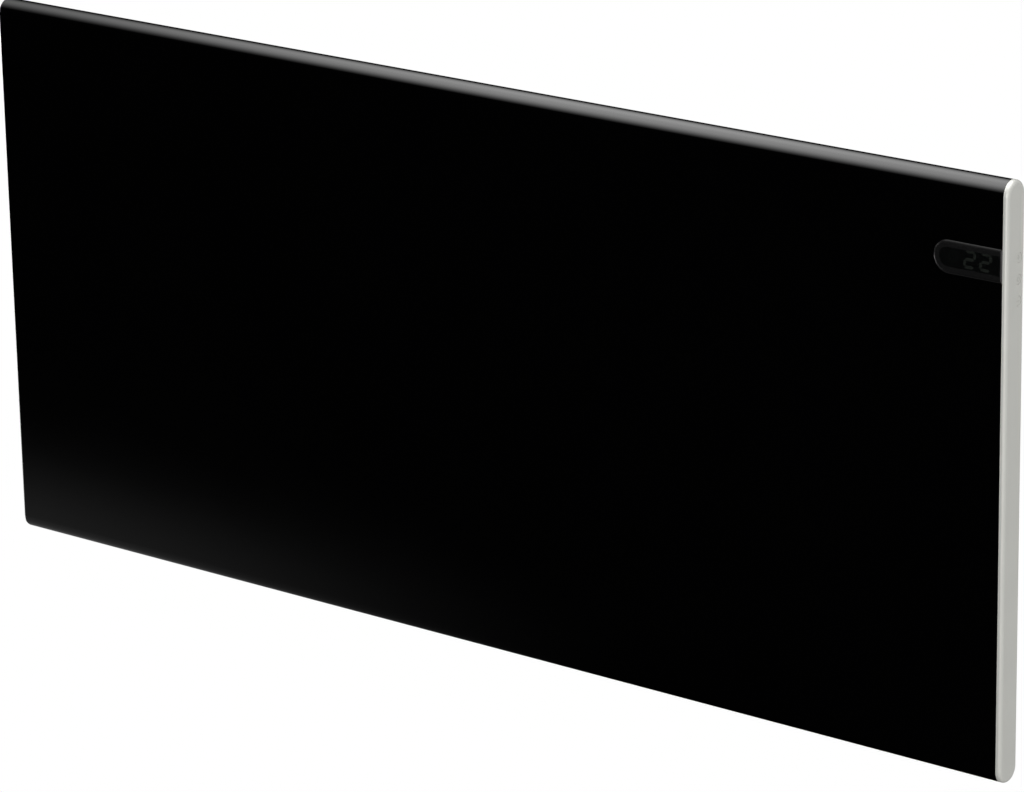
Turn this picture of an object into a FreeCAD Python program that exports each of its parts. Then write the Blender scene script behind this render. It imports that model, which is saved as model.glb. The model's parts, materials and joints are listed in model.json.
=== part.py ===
"""Wall-hung electric panel heater, in millimetres.

X runs along the panel, Z is up and the front faces -Y. The wall is the plane y = 0 and the origin is the
middle of the four wall screws. "out" is a distance out from the wall, so y = -out; "across" is along X and
"up" along Z.
"""

import FreeCAD
import Part
import Sketcher

import math
import operator
import os
from types import SimpleNamespace

SIZES = {
    # Whole heater
    "panel_length": 790.0,
    "panel_height": 370.0,
    "panel_thick": 18.0,
    "mount_depth": 84.0,
    "cut_overrun": 2.0,
    "fit_gap": 0.2,
    # Front panel
    "panel_sheet": 1.2,
    "lip_height": 24.0,
    # End caps
    "cap_plate": 3.5,
    "cap_edge_radius": 2.4,
    "tongue_length": 10.0,
    "tongue_height": 24.0,
    # Display window
    "window_length": 47.5,
    "window_height": 20.5,
    "window_drop": 50.0,
    "bezel_rim": 1.7,
    "bezel_proud": 0.4,
    "bezel_flange_width": 2.0,
    "bezel_flange_thick": 1.5,
    "lens_thick": 1.6,
    "lens_ledge": 1.0,
    # Display module and control board
    "module_width": 27.0,
    "module_height": 12.5,
    "module_depth": 6.2,
    "module_gap": 0.4,
    "digits_inset": 18.0,
    "board_thick": 1.6,
    "board_inset": 3.0,
    "relay_width": 9.0,
    "relay_height": 14.0,
    "relay_depth": 7.0,
    "relay_gap": 2.0,
    "connector_inset": 20.0,
    "connector_height": 7.0,
    "connector_margin": 3.5,
    # Control housing
    "housing_width": 50.0,
    "housing_height": 50.0,
    "housing_lip_gap": 1.6,
    "housing_wall": 1.5,
    "post_width": 5.0,
    "boss_radius": 3.2,
    # Setting keys and the switches that they press
    "key_radius": 3.0,
    "key_pitch": 13.0,
    "key_gap": 0.1,
    "key_sink": 0.2,
    "key_seat": 0.2,
    "key_collar_width": 8.0,
    "key_collar_thick": 1.2,
    "key_stem_width": 2.8,
    "key_engage": 0.4,
    "key_switch_depth": 5.0,
    "key_switch_height": 4.5,
    "key_switch_width": 6.0,
    "key_bore_gap": 0.1,
    "key_bore_depth": 1.4,
    # Rear casing
    "casing_sheet": 0.8,
    "casing_end_inset": 60.0,
    "casing_edge_inset": 35.0,
    "casing_corner": 10.0,
    "wall_gap": 24.0,
    "flange_edge_inset": 13.0,
    # Air grilles
    "grille_end_inset": 35.0,
    "grille_width": 28.0,
    "grille_inset": 6.0,
    "grille_overlap": 4.0,
    "grille_thick": 1.0,
    "slot_bridge": 7.0,
    "slot_width": 4.5,
    "slot_row_pitch": 9.0,
    # Heating element
    "element_end_room": 55.0,
    "element_height": 68.0,
    "element_depth": 26.0,
    "element_inset": 26.0,
    "fin_thick": 2.0,
    "fin_foot": 8.0,
    "hub_radius": 8.0,
    "rod_radius": 4.0,
    "rod_gap": 0.1,
    "rod_overhang": 30.0,
    "pin_width": 2.6,
    "pin_length": 8.0,
    # Element bushes and supports
    "bush_width": 14.0,
    "bush_length": 6.0,
    "support_thick": 1.2,
    "support_height": 40.0,
    "support_reach": 37.0,
    "support_gap": 8.0,
    "support_foot": 12.0,
    # Heat shield
    "shield_sheet": 0.6,
    "shield_end_inset": 5.0,
    "shield_height": 100.0,
    "shield_stand": 3.0,
    "shield_clip_gap": 4.4,
    # Overheat cut-out
    "cutout_radius": 8.0,
    "cutout_depth": 8.0,
    "cutout_end_inset": 235.0,
    "cutout_rise": 95.0,
    "tab_length": 6.0,
    "tab_width": 4.8,
    "tab_thick": 0.8,
    # Terminal block
    "terminal_length": 36.0,
    "terminal_height": 16.0,
    "terminal_depth": 14.0,
    "terminal_inset": 29.0,
    "terminal_rise": 16.0,
    "terminal_well_width": 4.0,
    "terminal_well_depth": 9.0,
    "terminal_lead_inset": 8.0,
    # Mains rocker switch
    "switch_inset": 21.0,
    "switch_rise": 60.0,
    "switch_depth": 22.0,
    "switch_side_wall": 1.2,
    "switch_rim": 2.0,
    "switch_rim_thick": 2.0,
    "rocker_width": 10.0,
    "rocker_half": 6.0,
    "rocker_rise": 6.2,
    "rocker_dip": 3.4,
    "rocker_back": 4.0,
    "rocker_back_half": 3.0,
    "rocker_gap": 0.5,
    "rocker_side_gap": 0.2,
    "rocker_pin_radius": 1.0,
    "rocker_pin_reach": 0.9,
    "rocker_pin_gap": 0.05,
    "rocker_sink": 3.0,
    # Cord gland
    "gland_inset": 18.0,
    "gland_rise": 22.0,
    "gland_bore": 3.6,
    "gland_neck": 6.0,
    "gland_rim": 9.0,
    "gland_rim_thick": 2.5,
    "gland_sleeve_length": 6.0,
    "gland_nut": 8.0,
    "gland_nut_length": 5.0,
    "gland_membrane": 1.5,
    "gland_gap": 0.1,
    # Room sensor
    "sensor_rise": 12.0,
    "sensor_radius": 1.5,
    "sensor_gap": 0.1,
    "sensor_cap_radius": 5.0,
    "sensor_cap_length": 8.0,
    "sensor_neck_radius": 3.3,
    "sensor_neck_length": 3.0,
    "sensor_sink": 1.0,
    # Hanger bars on the casing
    "hanger_across": 200.0,
    "hanger_drop": 40.0,
    "hanger_radius": 3.0,
    "hanger_length": 36.0,
    "hanger_stand": 1.5,
    "hanger_foot": 8.0,
    "bumper_radius": 7.0,
    "bumper_rise": 65.0,
    # Wall bracket
    "rail_depth": 14.0,
    "rail_web": 36.0,
    "rail_flange": 14.0,
    "rail_sheet": 1.5,
    "rail_above": 14.0,
    "rail_below": 22.0,
    "bar_height": 25.0,
    "bar_lip": 6.0,
    "bar_drop": 40.0,
    "bar_rise": 32.0,
    "hook_thick": 3.0,
    "hook_gap": 0.05,
    "hook_lip": 3.5,
    "hook_lip_height": 5.0,
    "hook_depth": 12.0,
    "hook_slot_side": 3.0,
    "hook_slot_above": 7.0,
    "hook_slot_below": 19.0,
    "wall_screw_radius": 2.75,
    "wall_screw_drop": 35.0,
    # Spring clips
    "clip_rise": 38.0,
    "clip_thick": 0.8,
    "clip_width": 10.0,
    "clip_base": 14.0,
    "clip_nose": 2.6,
    "clip_nose_flat": 1.0,
    "clip_reach": 6.0,
    "clip_gap": 0.3,
    "clip_slot_below": 3.0,
    "clip_slot_side": 1.0,
    # Internal leads
    "lead_radius": 1.3,
    "lead_bend": 6.0,
    "lead_pitch": 6.0,
    "lead_out": 5.0,
    "lead_straight": 8.0,
    "lead_rise": 10.0,
    "lead_slack": 12.0,
}

GRILLE_ROWS = (-1, 0, 1)
GRILLE_COLUMNS = 8
KEYS = {"button_plus": 1, "button_ok": 0, "button_minus": -1}
TERMINALS = (-1, 0, 1)
NUT_SIDES = 6
LEAD_SIDES = 6
MITRED = 1
ROCKER_REST_DEGREES = -10.0
OUTWARD = FreeCAD.Rotation(FreeCAD.Vector(1, 0, 0), 90)
SIDEWAYS = FreeCAD.Rotation(FreeCAD.Vector(0, 1, 0), 90)
SIGNS = {"+": operator.add, "-": operator.sub, "*": operator.mul, "/": operator.truediv}

doc = FreeCAD.newDocument("PanelHeater")
sheet = doc.addObject("Spreadsheet::Sheet", "Sizes")
for row, (alias, value) in enumerate(SIZES.items(), start=1):
    sheet.set(f"A{row}", alias)
    sheet.set(f"B{row}", str(value))
    sheet.setAlias(f"B{row}", alias)
doc.recompute()


class Size:
    """A length that knows both its number and the sheet expression that gives it."""

    def __init__(self, value, text):
        self.value = value
        self.text = text

    def __add__(self, other):
        return combine(self, "+", other)

    def __radd__(self, other):
        return combine(other, "+", self)

    def __sub__(self, other):
        return combine(self, "-", other)

    def __rsub__(self, other):
        return combine(other, "-", self)

    def __mul__(self, other):
        return combine(self, "*", other)

    def __rmul__(self, other):
        return combine(other, "*", self)

    def __truediv__(self, other):
        return combine(self, "/", other)

    def __neg__(self):
        return combine(0, "-", self)


def as_size(number):
    """A plain number as a Size; a Size as it is."""
    return number if isinstance(number, Size) else Size(float(number), repr(float(number)))


def combine(first, sign, second):
    """The sum, difference, product or quotient of two sizes."""
    first, second = as_size(first), as_size(second)
    return Size(SIGNS[sign](first.value, second.value), f"({first.text} {sign} {second.text})")


def diagonal(first, second):
    """The length of the diagonal of a rectangle with these sides."""
    square = first * first + second * second
    return Size(math.sqrt(square.value), f"sqrt({square.text})")


dim = SimpleNamespace(**{alias: Size(sheet.get(alias), f"Sizes.{alias}") for alias in SIZES})

# Places that several pieces share
half_length = dim.panel_length / 2
panel_end = half_length - dim.cap_plate
panel_front = dim.mount_depth
panel_rear = panel_front - dim.panel_thick
panel_inside = panel_front - dim.panel_sheet
edge_radius = dim.panel_thick / 2
edge_up = dim.panel_height / 2 - edge_radius
edge_out = panel_rear + edge_radius

window_left = panel_end - dim.window_length
window_half = dim.window_height / 2
window_up = dim.panel_height / 2 - dim.window_drop
bezel_right = panel_end - dim.fit_gap
lens_back = panel_inside - dim.fit_gap
bezel_back = lens_back - dim.bezel_flange_thick

board_front = lens_back - dim.module_gap - dim.module_depth
board_back = board_front - dim.board_thick
housing_left = bezel_right - dim.housing_width
housing_half = dim.housing_height / 2
housing_up = edge_up - dim.lip_height - dim.housing_lip_gap - housing_half
housing_rear = panel_rear
board_left = housing_left + dim.housing_wall + dim.fit_gap
board_right = panel_end - dim.board_inset
board_half = housing_half - dim.housing_wall - dim.fit_gap
boss_across = housing_left + dim.boss_radius
boss_rise = housing_half - dim.boss_radius
connector_across = housing_left + dim.connector_inset
connector_bottom = housing_up - board_half + dim.housing_wall
element_lead_across = connector_across - dim.lead_pitch
switched_lead_across = connector_across
sensor_across = connector_across + dim.lead_pitch
lead_out = panel_rear + dim.lead_out

key_out = board_back - dim.key_switch_height / 2
key_mouth = board_right
key_stem_end = key_mouth - dim.key_engage

casing_half = half_length - dim.casing_end_inset
casing_up = dim.panel_height / 2 - dim.casing_edge_inset
casing_inside = dim.wall_gap + dim.casing_sheet
flange_back = panel_rear - dim.casing_sheet
grille_near = dim.wall_gap + dim.grille_inset
grille_far = grille_near + dim.grille_width
grille_half = casing_half - dim.grille_end_inset

element_half = casing_half - dim.element_end_room
clip_up = dim.clip_rise - casing_up
shield_bottom = clip_up + dim.clip_nose + dim.shield_clip_gap
element_up = shield_bottom + dim.shield_height / 2
element_out = dim.wall_gap + dim.element_inset
rod_half = element_half + dim.rod_overhang
pin_end = rod_half + dim.pin_length
support_near = element_half + dim.support_gap
support_far = support_near + dim.support_thick
support_middle = (support_near + support_far) / 2
bush_half = dim.bush_width / 2

terminal_right = casing_half - dim.terminal_inset
terminal_left = terminal_right - dim.terminal_length
terminal_up = dim.terminal_rise - casing_up
terminal_top = terminal_up + dim.terminal_height / 2
terminal_out = casing_inside + dim.terminal_depth / 2
cutout_across = casing_half - dim.cutout_end_inset
cutout_up = element_up + dim.cutout_rise
tab_out = casing_inside + dim.cutout_depth / 2
tab_reach = dim.cutout_radius + dim.tab_length

switch_out = dim.wall_gap + dim.switch_inset
switch_up = dim.switch_rise - casing_up
rocker_radius = diagonal(dim.rocker_half, dim.rocker_rise)
switch_cavity_half = rocker_radius + dim.rocker_gap
switch_cavity_width = dim.rocker_width + 2 * dim.rocker_side_gap
switch_half = switch_cavity_half + dim.switch_side_wall
switch_width = switch_cavity_width + 2 * dim.switch_side_wall
switch_back = casing_half - dim.switch_depth
switch_front = casing_half + dim.switch_rim_thick
switch_lead_across = (switch_back + casing_half) / 2
rocker_across = switch_front - dim.rocker_sink

gland_out = dim.wall_gap + dim.gland_inset
gland_up = dim.gland_rise - casing_up
sensor_up = dim.sensor_rise + dim.lip_height - edge_up

hanger_up = casing_up - dim.hanger_drop
hanger_out = casing_inside + dim.hanger_stand + dim.hanger_radius
hook_notch = dim.hanger_radius + dim.hook_gap
rail_half = dim.rail_web / 2
rail_edge = rail_half + dim.rail_flange
wall_screw_offset = rail_half + dim.rail_flange / 2
clip_hook = casing_inside + dim.clip_gap


def bind(item, sizes):
    """Drive each named property of a document object by the sheet."""
    for path, size in sizes.items():
        item.setExpression(path, as_size(size).text)


def block(name, across, out, up):
    """A box between two places along each direction."""
    item = doc.addObject("Part::Box", name)
    bind(item, {
        "Length": across[1] - across[0],
        "Width": out[1] - out[0],
        "Height": up[1] - up[0],
        "Placement.Base.x": across[0],
        "Placement.Base.y": -out[1],
        "Placement.Base.z": up[0],
    })
    return item


def place_round(item, turn, across, out, up):
    """Stand a round primitive at its place, along X (sideways), -Y (outward) or Z."""
    item.Placement = FreeCAD.Placement(FreeCAD.Vector(), turn)
    bind(item, {"Placement.Base.x": across, "Placement.Base.y": -out, "Placement.Base.z": up})
    return item


def rod(name, turn, start, length, radius):
    """A cylinder that starts at (across, out, up) and runs along the turned axis."""
    item = doc.addObject("Part::Cylinder", name)
    bind(item, {"Radius": radius, "Height": length})
    return place_round(item, turn, *start)


def fuse(name, *pieces):
    """One solid from several that touch."""
    item = doc.addObject("Part::MultiFuse", name)
    item.Shapes = list(pieces)
    return item


def group(name, *pieces):
    """Separate solids that share one node."""
    item = doc.addObject("Part::Compound", name)
    item.Links = list(pieces)
    return item


def cut(name, base, *tools):
    """A solid less one or more others."""
    item = doc.addObject("Part::Cut", name)
    item.Base = base
    item.Tool = tools[0] if len(tools) == 1 else fuse(f"{name}_tools", *tools)
    return item


def new_body(name):
    """An empty body for sketched features."""
    return doc.addObject("PartDesign::Body", name)


def origin_part(body, role):
    """An origin plane or axis of a body."""
    return next(item for item in body.Origin.OriginFeatures if item.Role == role)


def sketch_on(body, role, offset=0):
    """A sketch on one of the body's origin planes, moved along the plane's normal."""
    sketch = body.newObject("Sketcher::SketchObject", f"{body.Name}_sketch")
    sketch.AttachmentSupport = (origin_part(body, role), [""])
    sketch.MapMode = "FlatFace"
    bind(sketch, {"AttachmentOffset.Base.z": offset})
    return sketch


def fix(sketch, kind, place, size):
    """Hold one sketch measure at a size of the sheet."""
    index = sketch.addConstraint(Sketcher.Constraint(kind, *place, size.value))
    sketch.setExpression(f"Constraints[{index}]", size.text)


def fix_coordinate(sketch, geometry, point, along_first, size):
    """Hold one coordinate of a sketch point, measured from the origin."""
    size = as_size(size)
    if size.value == 0:
        axis = -2 if along_first else -1
        sketch.addConstraint(Sketcher.Constraint("PointOnObject", geometry, point, axis))
        return
    kind = "DistanceX" if along_first else "DistanceY"
    fix(sketch, kind, (-1, 1, geometry, point), size)


def bend(first, second, centre_first, centre_second, left=True):
    """An outline point that is reached along an arc, which turns left or right."""
    return (first, second, centre_first, centre_second, left)


def flat(number):
    """A plain number for a size."""
    return as_size(number).value


def segment(start, point):
    """The line or arc that reaches an outline point, and which of its ends come first and last."""
    begin = FreeCAD.Vector(flat(start[0]), flat(start[1]), 0)
    finish = FreeCAD.Vector(flat(point[0]), flat(point[1]), 0)
    if len(point) == 2:
        return Part.LineSegment(begin, finish), 1, 2
    centre = FreeCAD.Vector(flat(point[2]), flat(point[3]), 0)
    if not point[4]:
        begin, finish = finish, begin
    first_turn = math.atan2(begin.y - centre.y, begin.x - centre.x)
    last_turn = math.atan2(finish.y - centre.y, finish.x - centre.x)
    circle = Part.Circle(centre, FreeCAD.Vector(0, 0, 1), (begin - centre).Length)
    arc = Part.ArcOfCircle(circle, first_turn, last_turn)
    return (arc, 1, 2) if point[4] else (arc, 2, 1)


def outline(sketch, *points):
    """A closed outline of lines and arcs whose every corner is held by the sheet."""
    ends = []
    for index, point in enumerate(points):
        curve, begin, finish = segment(points[index - 1], point)
        ends.append((sketch.addGeometry(curve), begin, finish))
    for index, point in enumerate(points):
        geometry, begin, finish = ends[index]
        before, _, before_finish = ends[index - 1]
        sketch.addConstraint(Sketcher.Constraint("Coincident", before, before_finish, geometry, begin))
        fix_coordinate(sketch, geometry, finish, True, point[0])
        fix_coordinate(sketch, geometry, finish, False, point[1])
        if len(point) > 2:
            start = points[index - 1]
            wide = abs(flat(point[0]) - flat(start[0])) < abs(flat(point[1]) - flat(start[1]))
            fix_coordinate(sketch, geometry, 3, wide, point[2] if wide else point[3])


def rectangle(sketch, low, high):
    """A rectangle between two corners."""
    outline(sketch, low, (high[0], low[1]), high, (low[0], high[1]))


def rounded_rectangle(sketch, half_width, half_height, corner):
    """A rectangle about the origin with round corners."""
    x, y = half_width - corner, half_height - corner
    outline(
        sketch,
        bend(half_width, -y, x, -y),
        (half_width, y),
        bend(x, half_height, x, y),
        (-x, half_height),
        bend(-half_width, y, -x, y),
        (-half_width, -y),
        bend(-x, -half_height, -x, -y),
        (x, -half_height),
    )


def window_outline(sketch, left, right, half):
    """The display window's outline: round at its left end and straight at its right."""
    middle = left + half
    outline(
        sketch,
        (right, window_up - half),
        (right, window_up + half),
        (middle, window_up + half),
        bend(middle, window_up - half, middle, window_up),
    )


def circle(sketch, first, second, radius):
    """A circle held by its centre and radius."""
    centre = FreeCAD.Vector(flat(first), flat(second), 0)
    geometry = sketch.addGeometry(Part.Circle(centre, FreeCAD.Vector(0, 0, 1), flat(radius)))
    fix_coordinate(sketch, geometry, 3, True, first)
    fix_coordinate(sketch, geometry, 3, False, second)
    fix(sketch, "Radius", (geometry,), as_size(radius))


def pad(body, sketch, length, backward=False, both_ways=False):
    """Raise a sketch along its normal, against it, or evenly both ways."""
    feature = body.newObject("PartDesign::Pad", f"{body.Name}_pad")
    feature.Profile = sketch
    feature.Reversed = backward
    feature.SideType = "Symmetric" if both_ways else "One side"
    bind(feature, {"Length": length})
    doc.recompute()
    return feature


def pocket(body, sketch, length, forward=False):
    """Cut a sketch against its normal, or along it, and see that it cut something."""
    before = body.Shape.Volume
    feature = body.newObject("PartDesign::Pocket", f"{body.Name}_pocket")
    feature.Profile = sketch
    feature.Reversed = forward
    bind(feature, {"Length": length})
    doc.recompute()
    if body.Shape.Volume >= before:
        raise RuntimeError(f"a pocket of {body.Name} cut nothing")
    return feature


def through_sheet(body, sketch, thick):
    """Cut a sketch that stands one overrun clear of a sheet right through it."""
    return pocket(body, sketch, thick + 2 * dim.cut_overrun)


def key_up(name):
    """The height of a setting key."""
    return housing_up + KEYS[name] * dim.key_pitch


def make_front_panel():
    """Folded sheet with half-round top and bottom edges, lips behind and the display cut-out."""
    body = new_body("front_panel")
    lip_end = edge_up - dim.lip_height
    lip_inside = panel_rear + dim.panel_sheet
    profile = sketch_on(body, "YZ_Plane")
    outline(
        profile,
        (-panel_rear, lip_end),
        (-panel_rear, edge_up),
        bend(-panel_front, edge_up, -edge_out, edge_up),
        (-panel_front, -edge_up),
        bend(-panel_rear, -edge_up, -edge_out, -edge_up),
        (-panel_rear, -lip_end),
        (-lip_inside, -lip_end),
        (-lip_inside, -edge_up),
        bend(-panel_inside, -edge_up, -edge_out, -edge_up, left=False),
        (-panel_inside, edge_up),
        bend(-lip_inside, edge_up, -edge_out, edge_up, left=False),
        (-lip_inside, lip_end),
    )
    pad(body, profile, 2 * panel_end, both_ways=True)
    window = sketch_on(body, "XZ_Plane", panel_front + dim.cut_overrun)
    window_outline(window, window_left, panel_end + dim.cut_overrun, window_half)
    through_sheet(body, window, dim.panel_sheet)
    return body


def make_end_cap(name, side):
    """End plate with a rounded rim and two tongues that plug into the panel."""
    body = new_body(name)
    plate = sketch_on(body, "YZ_Plane", side * panel_end)
    outline(
        plate,
        bend(-panel_rear, -edge_up, -edge_out, -edge_up),
        (-panel_rear, edge_up),
        bend(-panel_front, edge_up, -edge_out, edge_up),
        (-panel_front, -edge_up),
    )
    raised = pad(body, plate, dim.cap_plate, backward=side < 0)
    face = side * half_length.value
    rim = [
        f"Edge{number}"
        for number, edge in enumerate(raised.Shape.Edges, start=1)
        if all(abs(vertex.X - face) < Part.Precision.confusion() for vertex in edge.Vertexes)
    ]
    fillet = body.newObject("PartDesign::Fillet", f"{name}_rim")
    fillet.Base = (raised, rim)
    bind(fillet, {"Radius": dim.cap_edge_radius})
    tongue_radius = edge_radius - dim.panel_sheet - dim.fit_gap
    tongue_rear = edge_out - tongue_radius
    tongue_front = edge_out + tongue_radius
    tongues = sketch_on(body, "YZ_Plane", side * panel_end)
    for row in (1, -1):
        tongue_end = row * (edge_up - dim.tongue_height)
        outline(
            tongues,
            (-tongue_rear, tongue_end),
            (-tongue_rear, row * edge_up),
            bend(-tongue_front, row * edge_up, -edge_out, row * edge_up, left=row > 0),
            (-tongue_front, tongue_end),
        )
    pad(body, tongues, dim.tongue_length, backward=side > 0)
    return body


def make_key_holes(cap):
    """Three round holes through the right end cap for the setting keys."""
    holes = sketch_on(cap, "YZ_Plane", half_length + dim.cut_overrun)
    for name in KEYS:
        circle(holes, -key_out, key_up(name), dim.key_radius + dim.key_gap)
    through_sheet(cap, holes, dim.cap_plate)


def make_control_bezel():
    """Window frame with a flange that clips behind the panel and a ledge for the lens."""
    body = new_body("control_bezel")
    frame = sketch_on(body, "XZ_Plane", bezel_back)
    inset = dim.fit_gap + dim.bezel_rim
    window_outline(frame, window_left + dim.fit_gap, bezel_right, window_half - dim.fit_gap)
    window_outline(frame, window_left + inset, panel_end - inset, window_half - inset)
    pad(body, frame, panel_front + dim.bezel_proud - bezel_back)
    flange = sketch_on(body, "XZ_Plane", bezel_back)
    ledge = inset + dim.lens_ledge
    spread = dim.bezel_flange_width
    window_outline(flange, window_left - spread, bezel_right, window_half + spread)
    window_outline(flange, window_left + ledge, panel_end - ledge, window_half - ledge)
    pad(body, flange, dim.bezel_flange_thick)
    return body


def make_display_lens():
    """Smoked window that sits on the ledge of the bezel."""
    body = new_body("display_lens")
    inset = 2 * dim.fit_gap + dim.bezel_rim
    pane = sketch_on(body, "XZ_Plane", lens_back)
    window_outline(pane, window_left + inset, panel_end - inset, window_half - inset)
    pad(body, pane, dim.lens_thick)
    return body


def make_display_module():
    """Digit block that stands on the board behind the lens."""
    middle = panel_end - dim.digits_inset
    return block(
        "display_module",
        (middle - dim.module_width / 2, middle + dim.module_width / 2),
        (board_front, board_front + dim.module_depth),
        (window_up - dim.module_height / 2, window_up + dim.module_height / 2),
    )


def make_control_board():
    """Printed board that lies on the housing's posts."""
    body = new_body("control_board")
    board = sketch_on(body, "XZ_Plane", board_back)
    rectangle(board, (board_left, housing_up - board_half), (board_right, housing_up + board_half))
    pad(body, board, dim.board_thick)
    return body


def make_power_relay():
    """Relay on the back of the board, beside the connector."""
    left = connector_across + dim.lead_pitch + dim.connector_margin + dim.relay_gap
    return block(
        "power_relay",
        (left, left + dim.relay_width),
        (board_back - dim.relay_depth, board_back),
        (connector_bottom, connector_bottom + dim.relay_height),
    )


def make_board_connector():
    """Screw connector on the back of the board where the leads end."""
    reach = dim.lead_pitch + dim.connector_margin
    return block(
        "board_connector",
        (connector_across - reach, connector_across + reach),
        (board_back - dim.relay_depth, board_back),
        (connector_bottom, connector_bottom + dim.connector_height),
    )


def make_control_housing():
    """Moulded tray behind the display, open towards the back and the end cap."""
    body = new_body("control_housing")
    inner_left = housing_left + dim.housing_wall
    inner_half = housing_half - dim.housing_wall
    tray_floor = bezel_back - dim.housing_wall
    shell = sketch_on(body, "XZ_Plane", housing_rear)
    rectangle(shell, (housing_left, housing_up - housing_half), (bezel_right, housing_up + housing_half))
    pad(body, shell, bezel_back - housing_rear)
    hollow = sketch_on(body, "XZ_Plane", tray_floor)
    rectangle(
        hollow,
        (inner_left, housing_up - inner_half),
        (bezel_right + dim.cut_overrun, housing_up + inner_half),
    )
    pocket(body, hollow, tray_floor - housing_rear + dim.cut_overrun)
    window = sketch_on(body, "XZ_Plane", bezel_back + dim.cut_overrun)
    middle = panel_end - dim.digits_inset
    reach = dim.module_width / 2 + dim.fit_gap
    rise = dim.module_height / 2 + dim.fit_gap
    rectangle(window, (middle - reach, window_up - rise), (middle + reach, window_up + rise))
    through_sheet(body, window, dim.housing_wall)
    posts = sketch_on(body, "XZ_Plane", board_front)
    for row in (1, -1):
        top = housing_up + row * board_half
        for left in (board_left, board_right - dim.post_width):
            rectangle(posts, (left, top - row * dim.post_width), (left + dim.post_width, top))
    pad(body, posts, tray_floor - board_front)
    bosses = sketch_on(body, "XZ_Plane", housing_rear)
    for row in (1, -1):
        circle(bosses, boss_across, housing_up + row * boss_rise, dim.boss_radius)
    pad(body, bosses, board_back - housing_rear)
    notch = sketch_on(body, "XZ_Plane", board_back)
    reach = dim.lead_pitch + dim.connector_margin
    rectangle(
        notch,
        (connector_across - reach, housing_up - housing_half - dim.cut_overrun),
        (connector_across + reach, housing_up - inner_half + dim.fit_gap),
    )
    pocket(body, notch, board_back - housing_rear + dim.cut_overrun)
    return body


def make_key_switches():
    """Three side-pressed switches on the back of the board, each with a well for a key's stem."""
    switches = []
    for name in KEYS:
        up = key_up(name)
        case = block(
            f"{name}_switch_case",
            (key_mouth - dim.key_switch_depth, key_mouth),
            (board_back - dim.key_switch_height, board_back),
            (up - dim.key_switch_width / 2, up + dim.key_switch_width / 2),
        )
        reach = dim.key_stem_width / 2 + dim.key_bore_gap
        bore = block(
            f"{name}_switch_bore",
            (key_mouth - dim.key_bore_depth, key_mouth + dim.cut_overrun),
            (key_out - reach, key_out + reach),
            (up - reach, up + reach),
        )
        switches.append(cut(f"{name}_switch", case, bore))
    return group("key_switches", *switches)


def make_key(name):
    """Round key with a square collar behind the cap plate and a square stem to its switch."""
    up = key_up(name)
    collar_front = panel_end - dim.key_seat
    collar_back = collar_front - dim.key_collar_thick
    head = rod(
        f"{name}_head",
        SIDEWAYS,
        (collar_front, key_out, up),
        half_length - dim.key_sink - collar_front,
        dim.key_radius,
    )
    reach = dim.key_collar_width / 2
    collar = block(
        f"{name}_collar",
        (collar_back, collar_front),
        (key_out - reach, key_out + reach),
        (up - reach, up + reach),
    )
    reach = dim.key_stem_width / 2
    stem = block(
        f"{name}_stem",
        (key_stem_end, collar_back),
        (key_out - reach, key_out + reach),
        (up - reach, up + reach),
    )
    return fuse(name, head, collar, stem)


def make_rear_casing():
    """Pressed sheet: a flange behind the panel and a box behind that, with all its cut-outs."""
    body = new_body("rear_casing")
    flange = sketch_on(body, "XZ_Plane", flange_back)
    flange_half = dim.panel_height / 2 - dim.flange_edge_inset
    rectangle(flange, (-bezel_right, -flange_half), (bezel_right, flange_half))
    pad(body, flange, dim.casing_sheet)
    box = sketch_on(body, "XZ_Plane", dim.wall_gap)
    rounded_rectangle(box, casing_half, casing_up, dim.casing_corner)
    pad(body, box, flange_back - dim.wall_gap)
    hollow = sketch_on(body, "XZ_Plane", panel_rear + dim.cut_overrun)
    rounded_rectangle(
        hollow,
        casing_half - dim.casing_sheet,
        casing_up - dim.casing_sheet,
        dim.casing_corner - dim.casing_sheet,
    )
    pocket(body, hollow, panel_rear + dim.cut_overrun - casing_inside)
    vents = sketch_on(body, "XY_Plane", casing_up + dim.cut_overrun)
    rectangle(vents, (-grille_half, -grille_far), (grille_half, -grille_near))
    pocket(body, vents, 2 * (casing_up + dim.cut_overrun))
    back_cuts = sketch_on(body, "XZ_Plane", casing_inside + dim.cut_overrun)
    for side in (1, -1):
        middle = side * dim.hanger_across
        reach = dim.hook_thick / 2 + dim.hook_slot_side
        rectangle(
            back_cuts,
            (middle - reach, hanger_up - dim.hook_slot_below),
            (middle + reach, hanger_up + dim.hook_slot_above),
        )
        reach = dim.clip_width / 2 + dim.clip_slot_side
        rectangle(
            back_cuts,
            (middle - reach, clip_up - dim.clip_thick - dim.clip_slot_below),
            (middle + reach, clip_up + dim.clip_gap),
        )
    through_sheet(body, back_cuts, dim.casing_sheet)
    sensor_hole = sketch_on(body, "XZ_Plane", panel_rear + dim.cut_overrun)
    circle(sensor_hole, sensor_across, sensor_up, dim.sensor_neck_radius + dim.sensor_gap)
    through_sheet(body, sensor_hole, dim.casing_sheet)
    side_cuts = sketch_on(body, "YZ_Plane", casing_half + dim.cut_overrun)
    reach = switch_width / 2 + dim.fit_gap
    rise = switch_half + dim.fit_gap
    rectangle(side_cuts, (-switch_out - reach, switch_up - rise), (-switch_out + reach, switch_up + rise))
    circle(side_cuts, -gland_out, gland_up, dim.gland_neck + dim.gland_gap)
    through_sheet(body, side_cuts, dim.casing_sheet)
    return body


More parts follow.
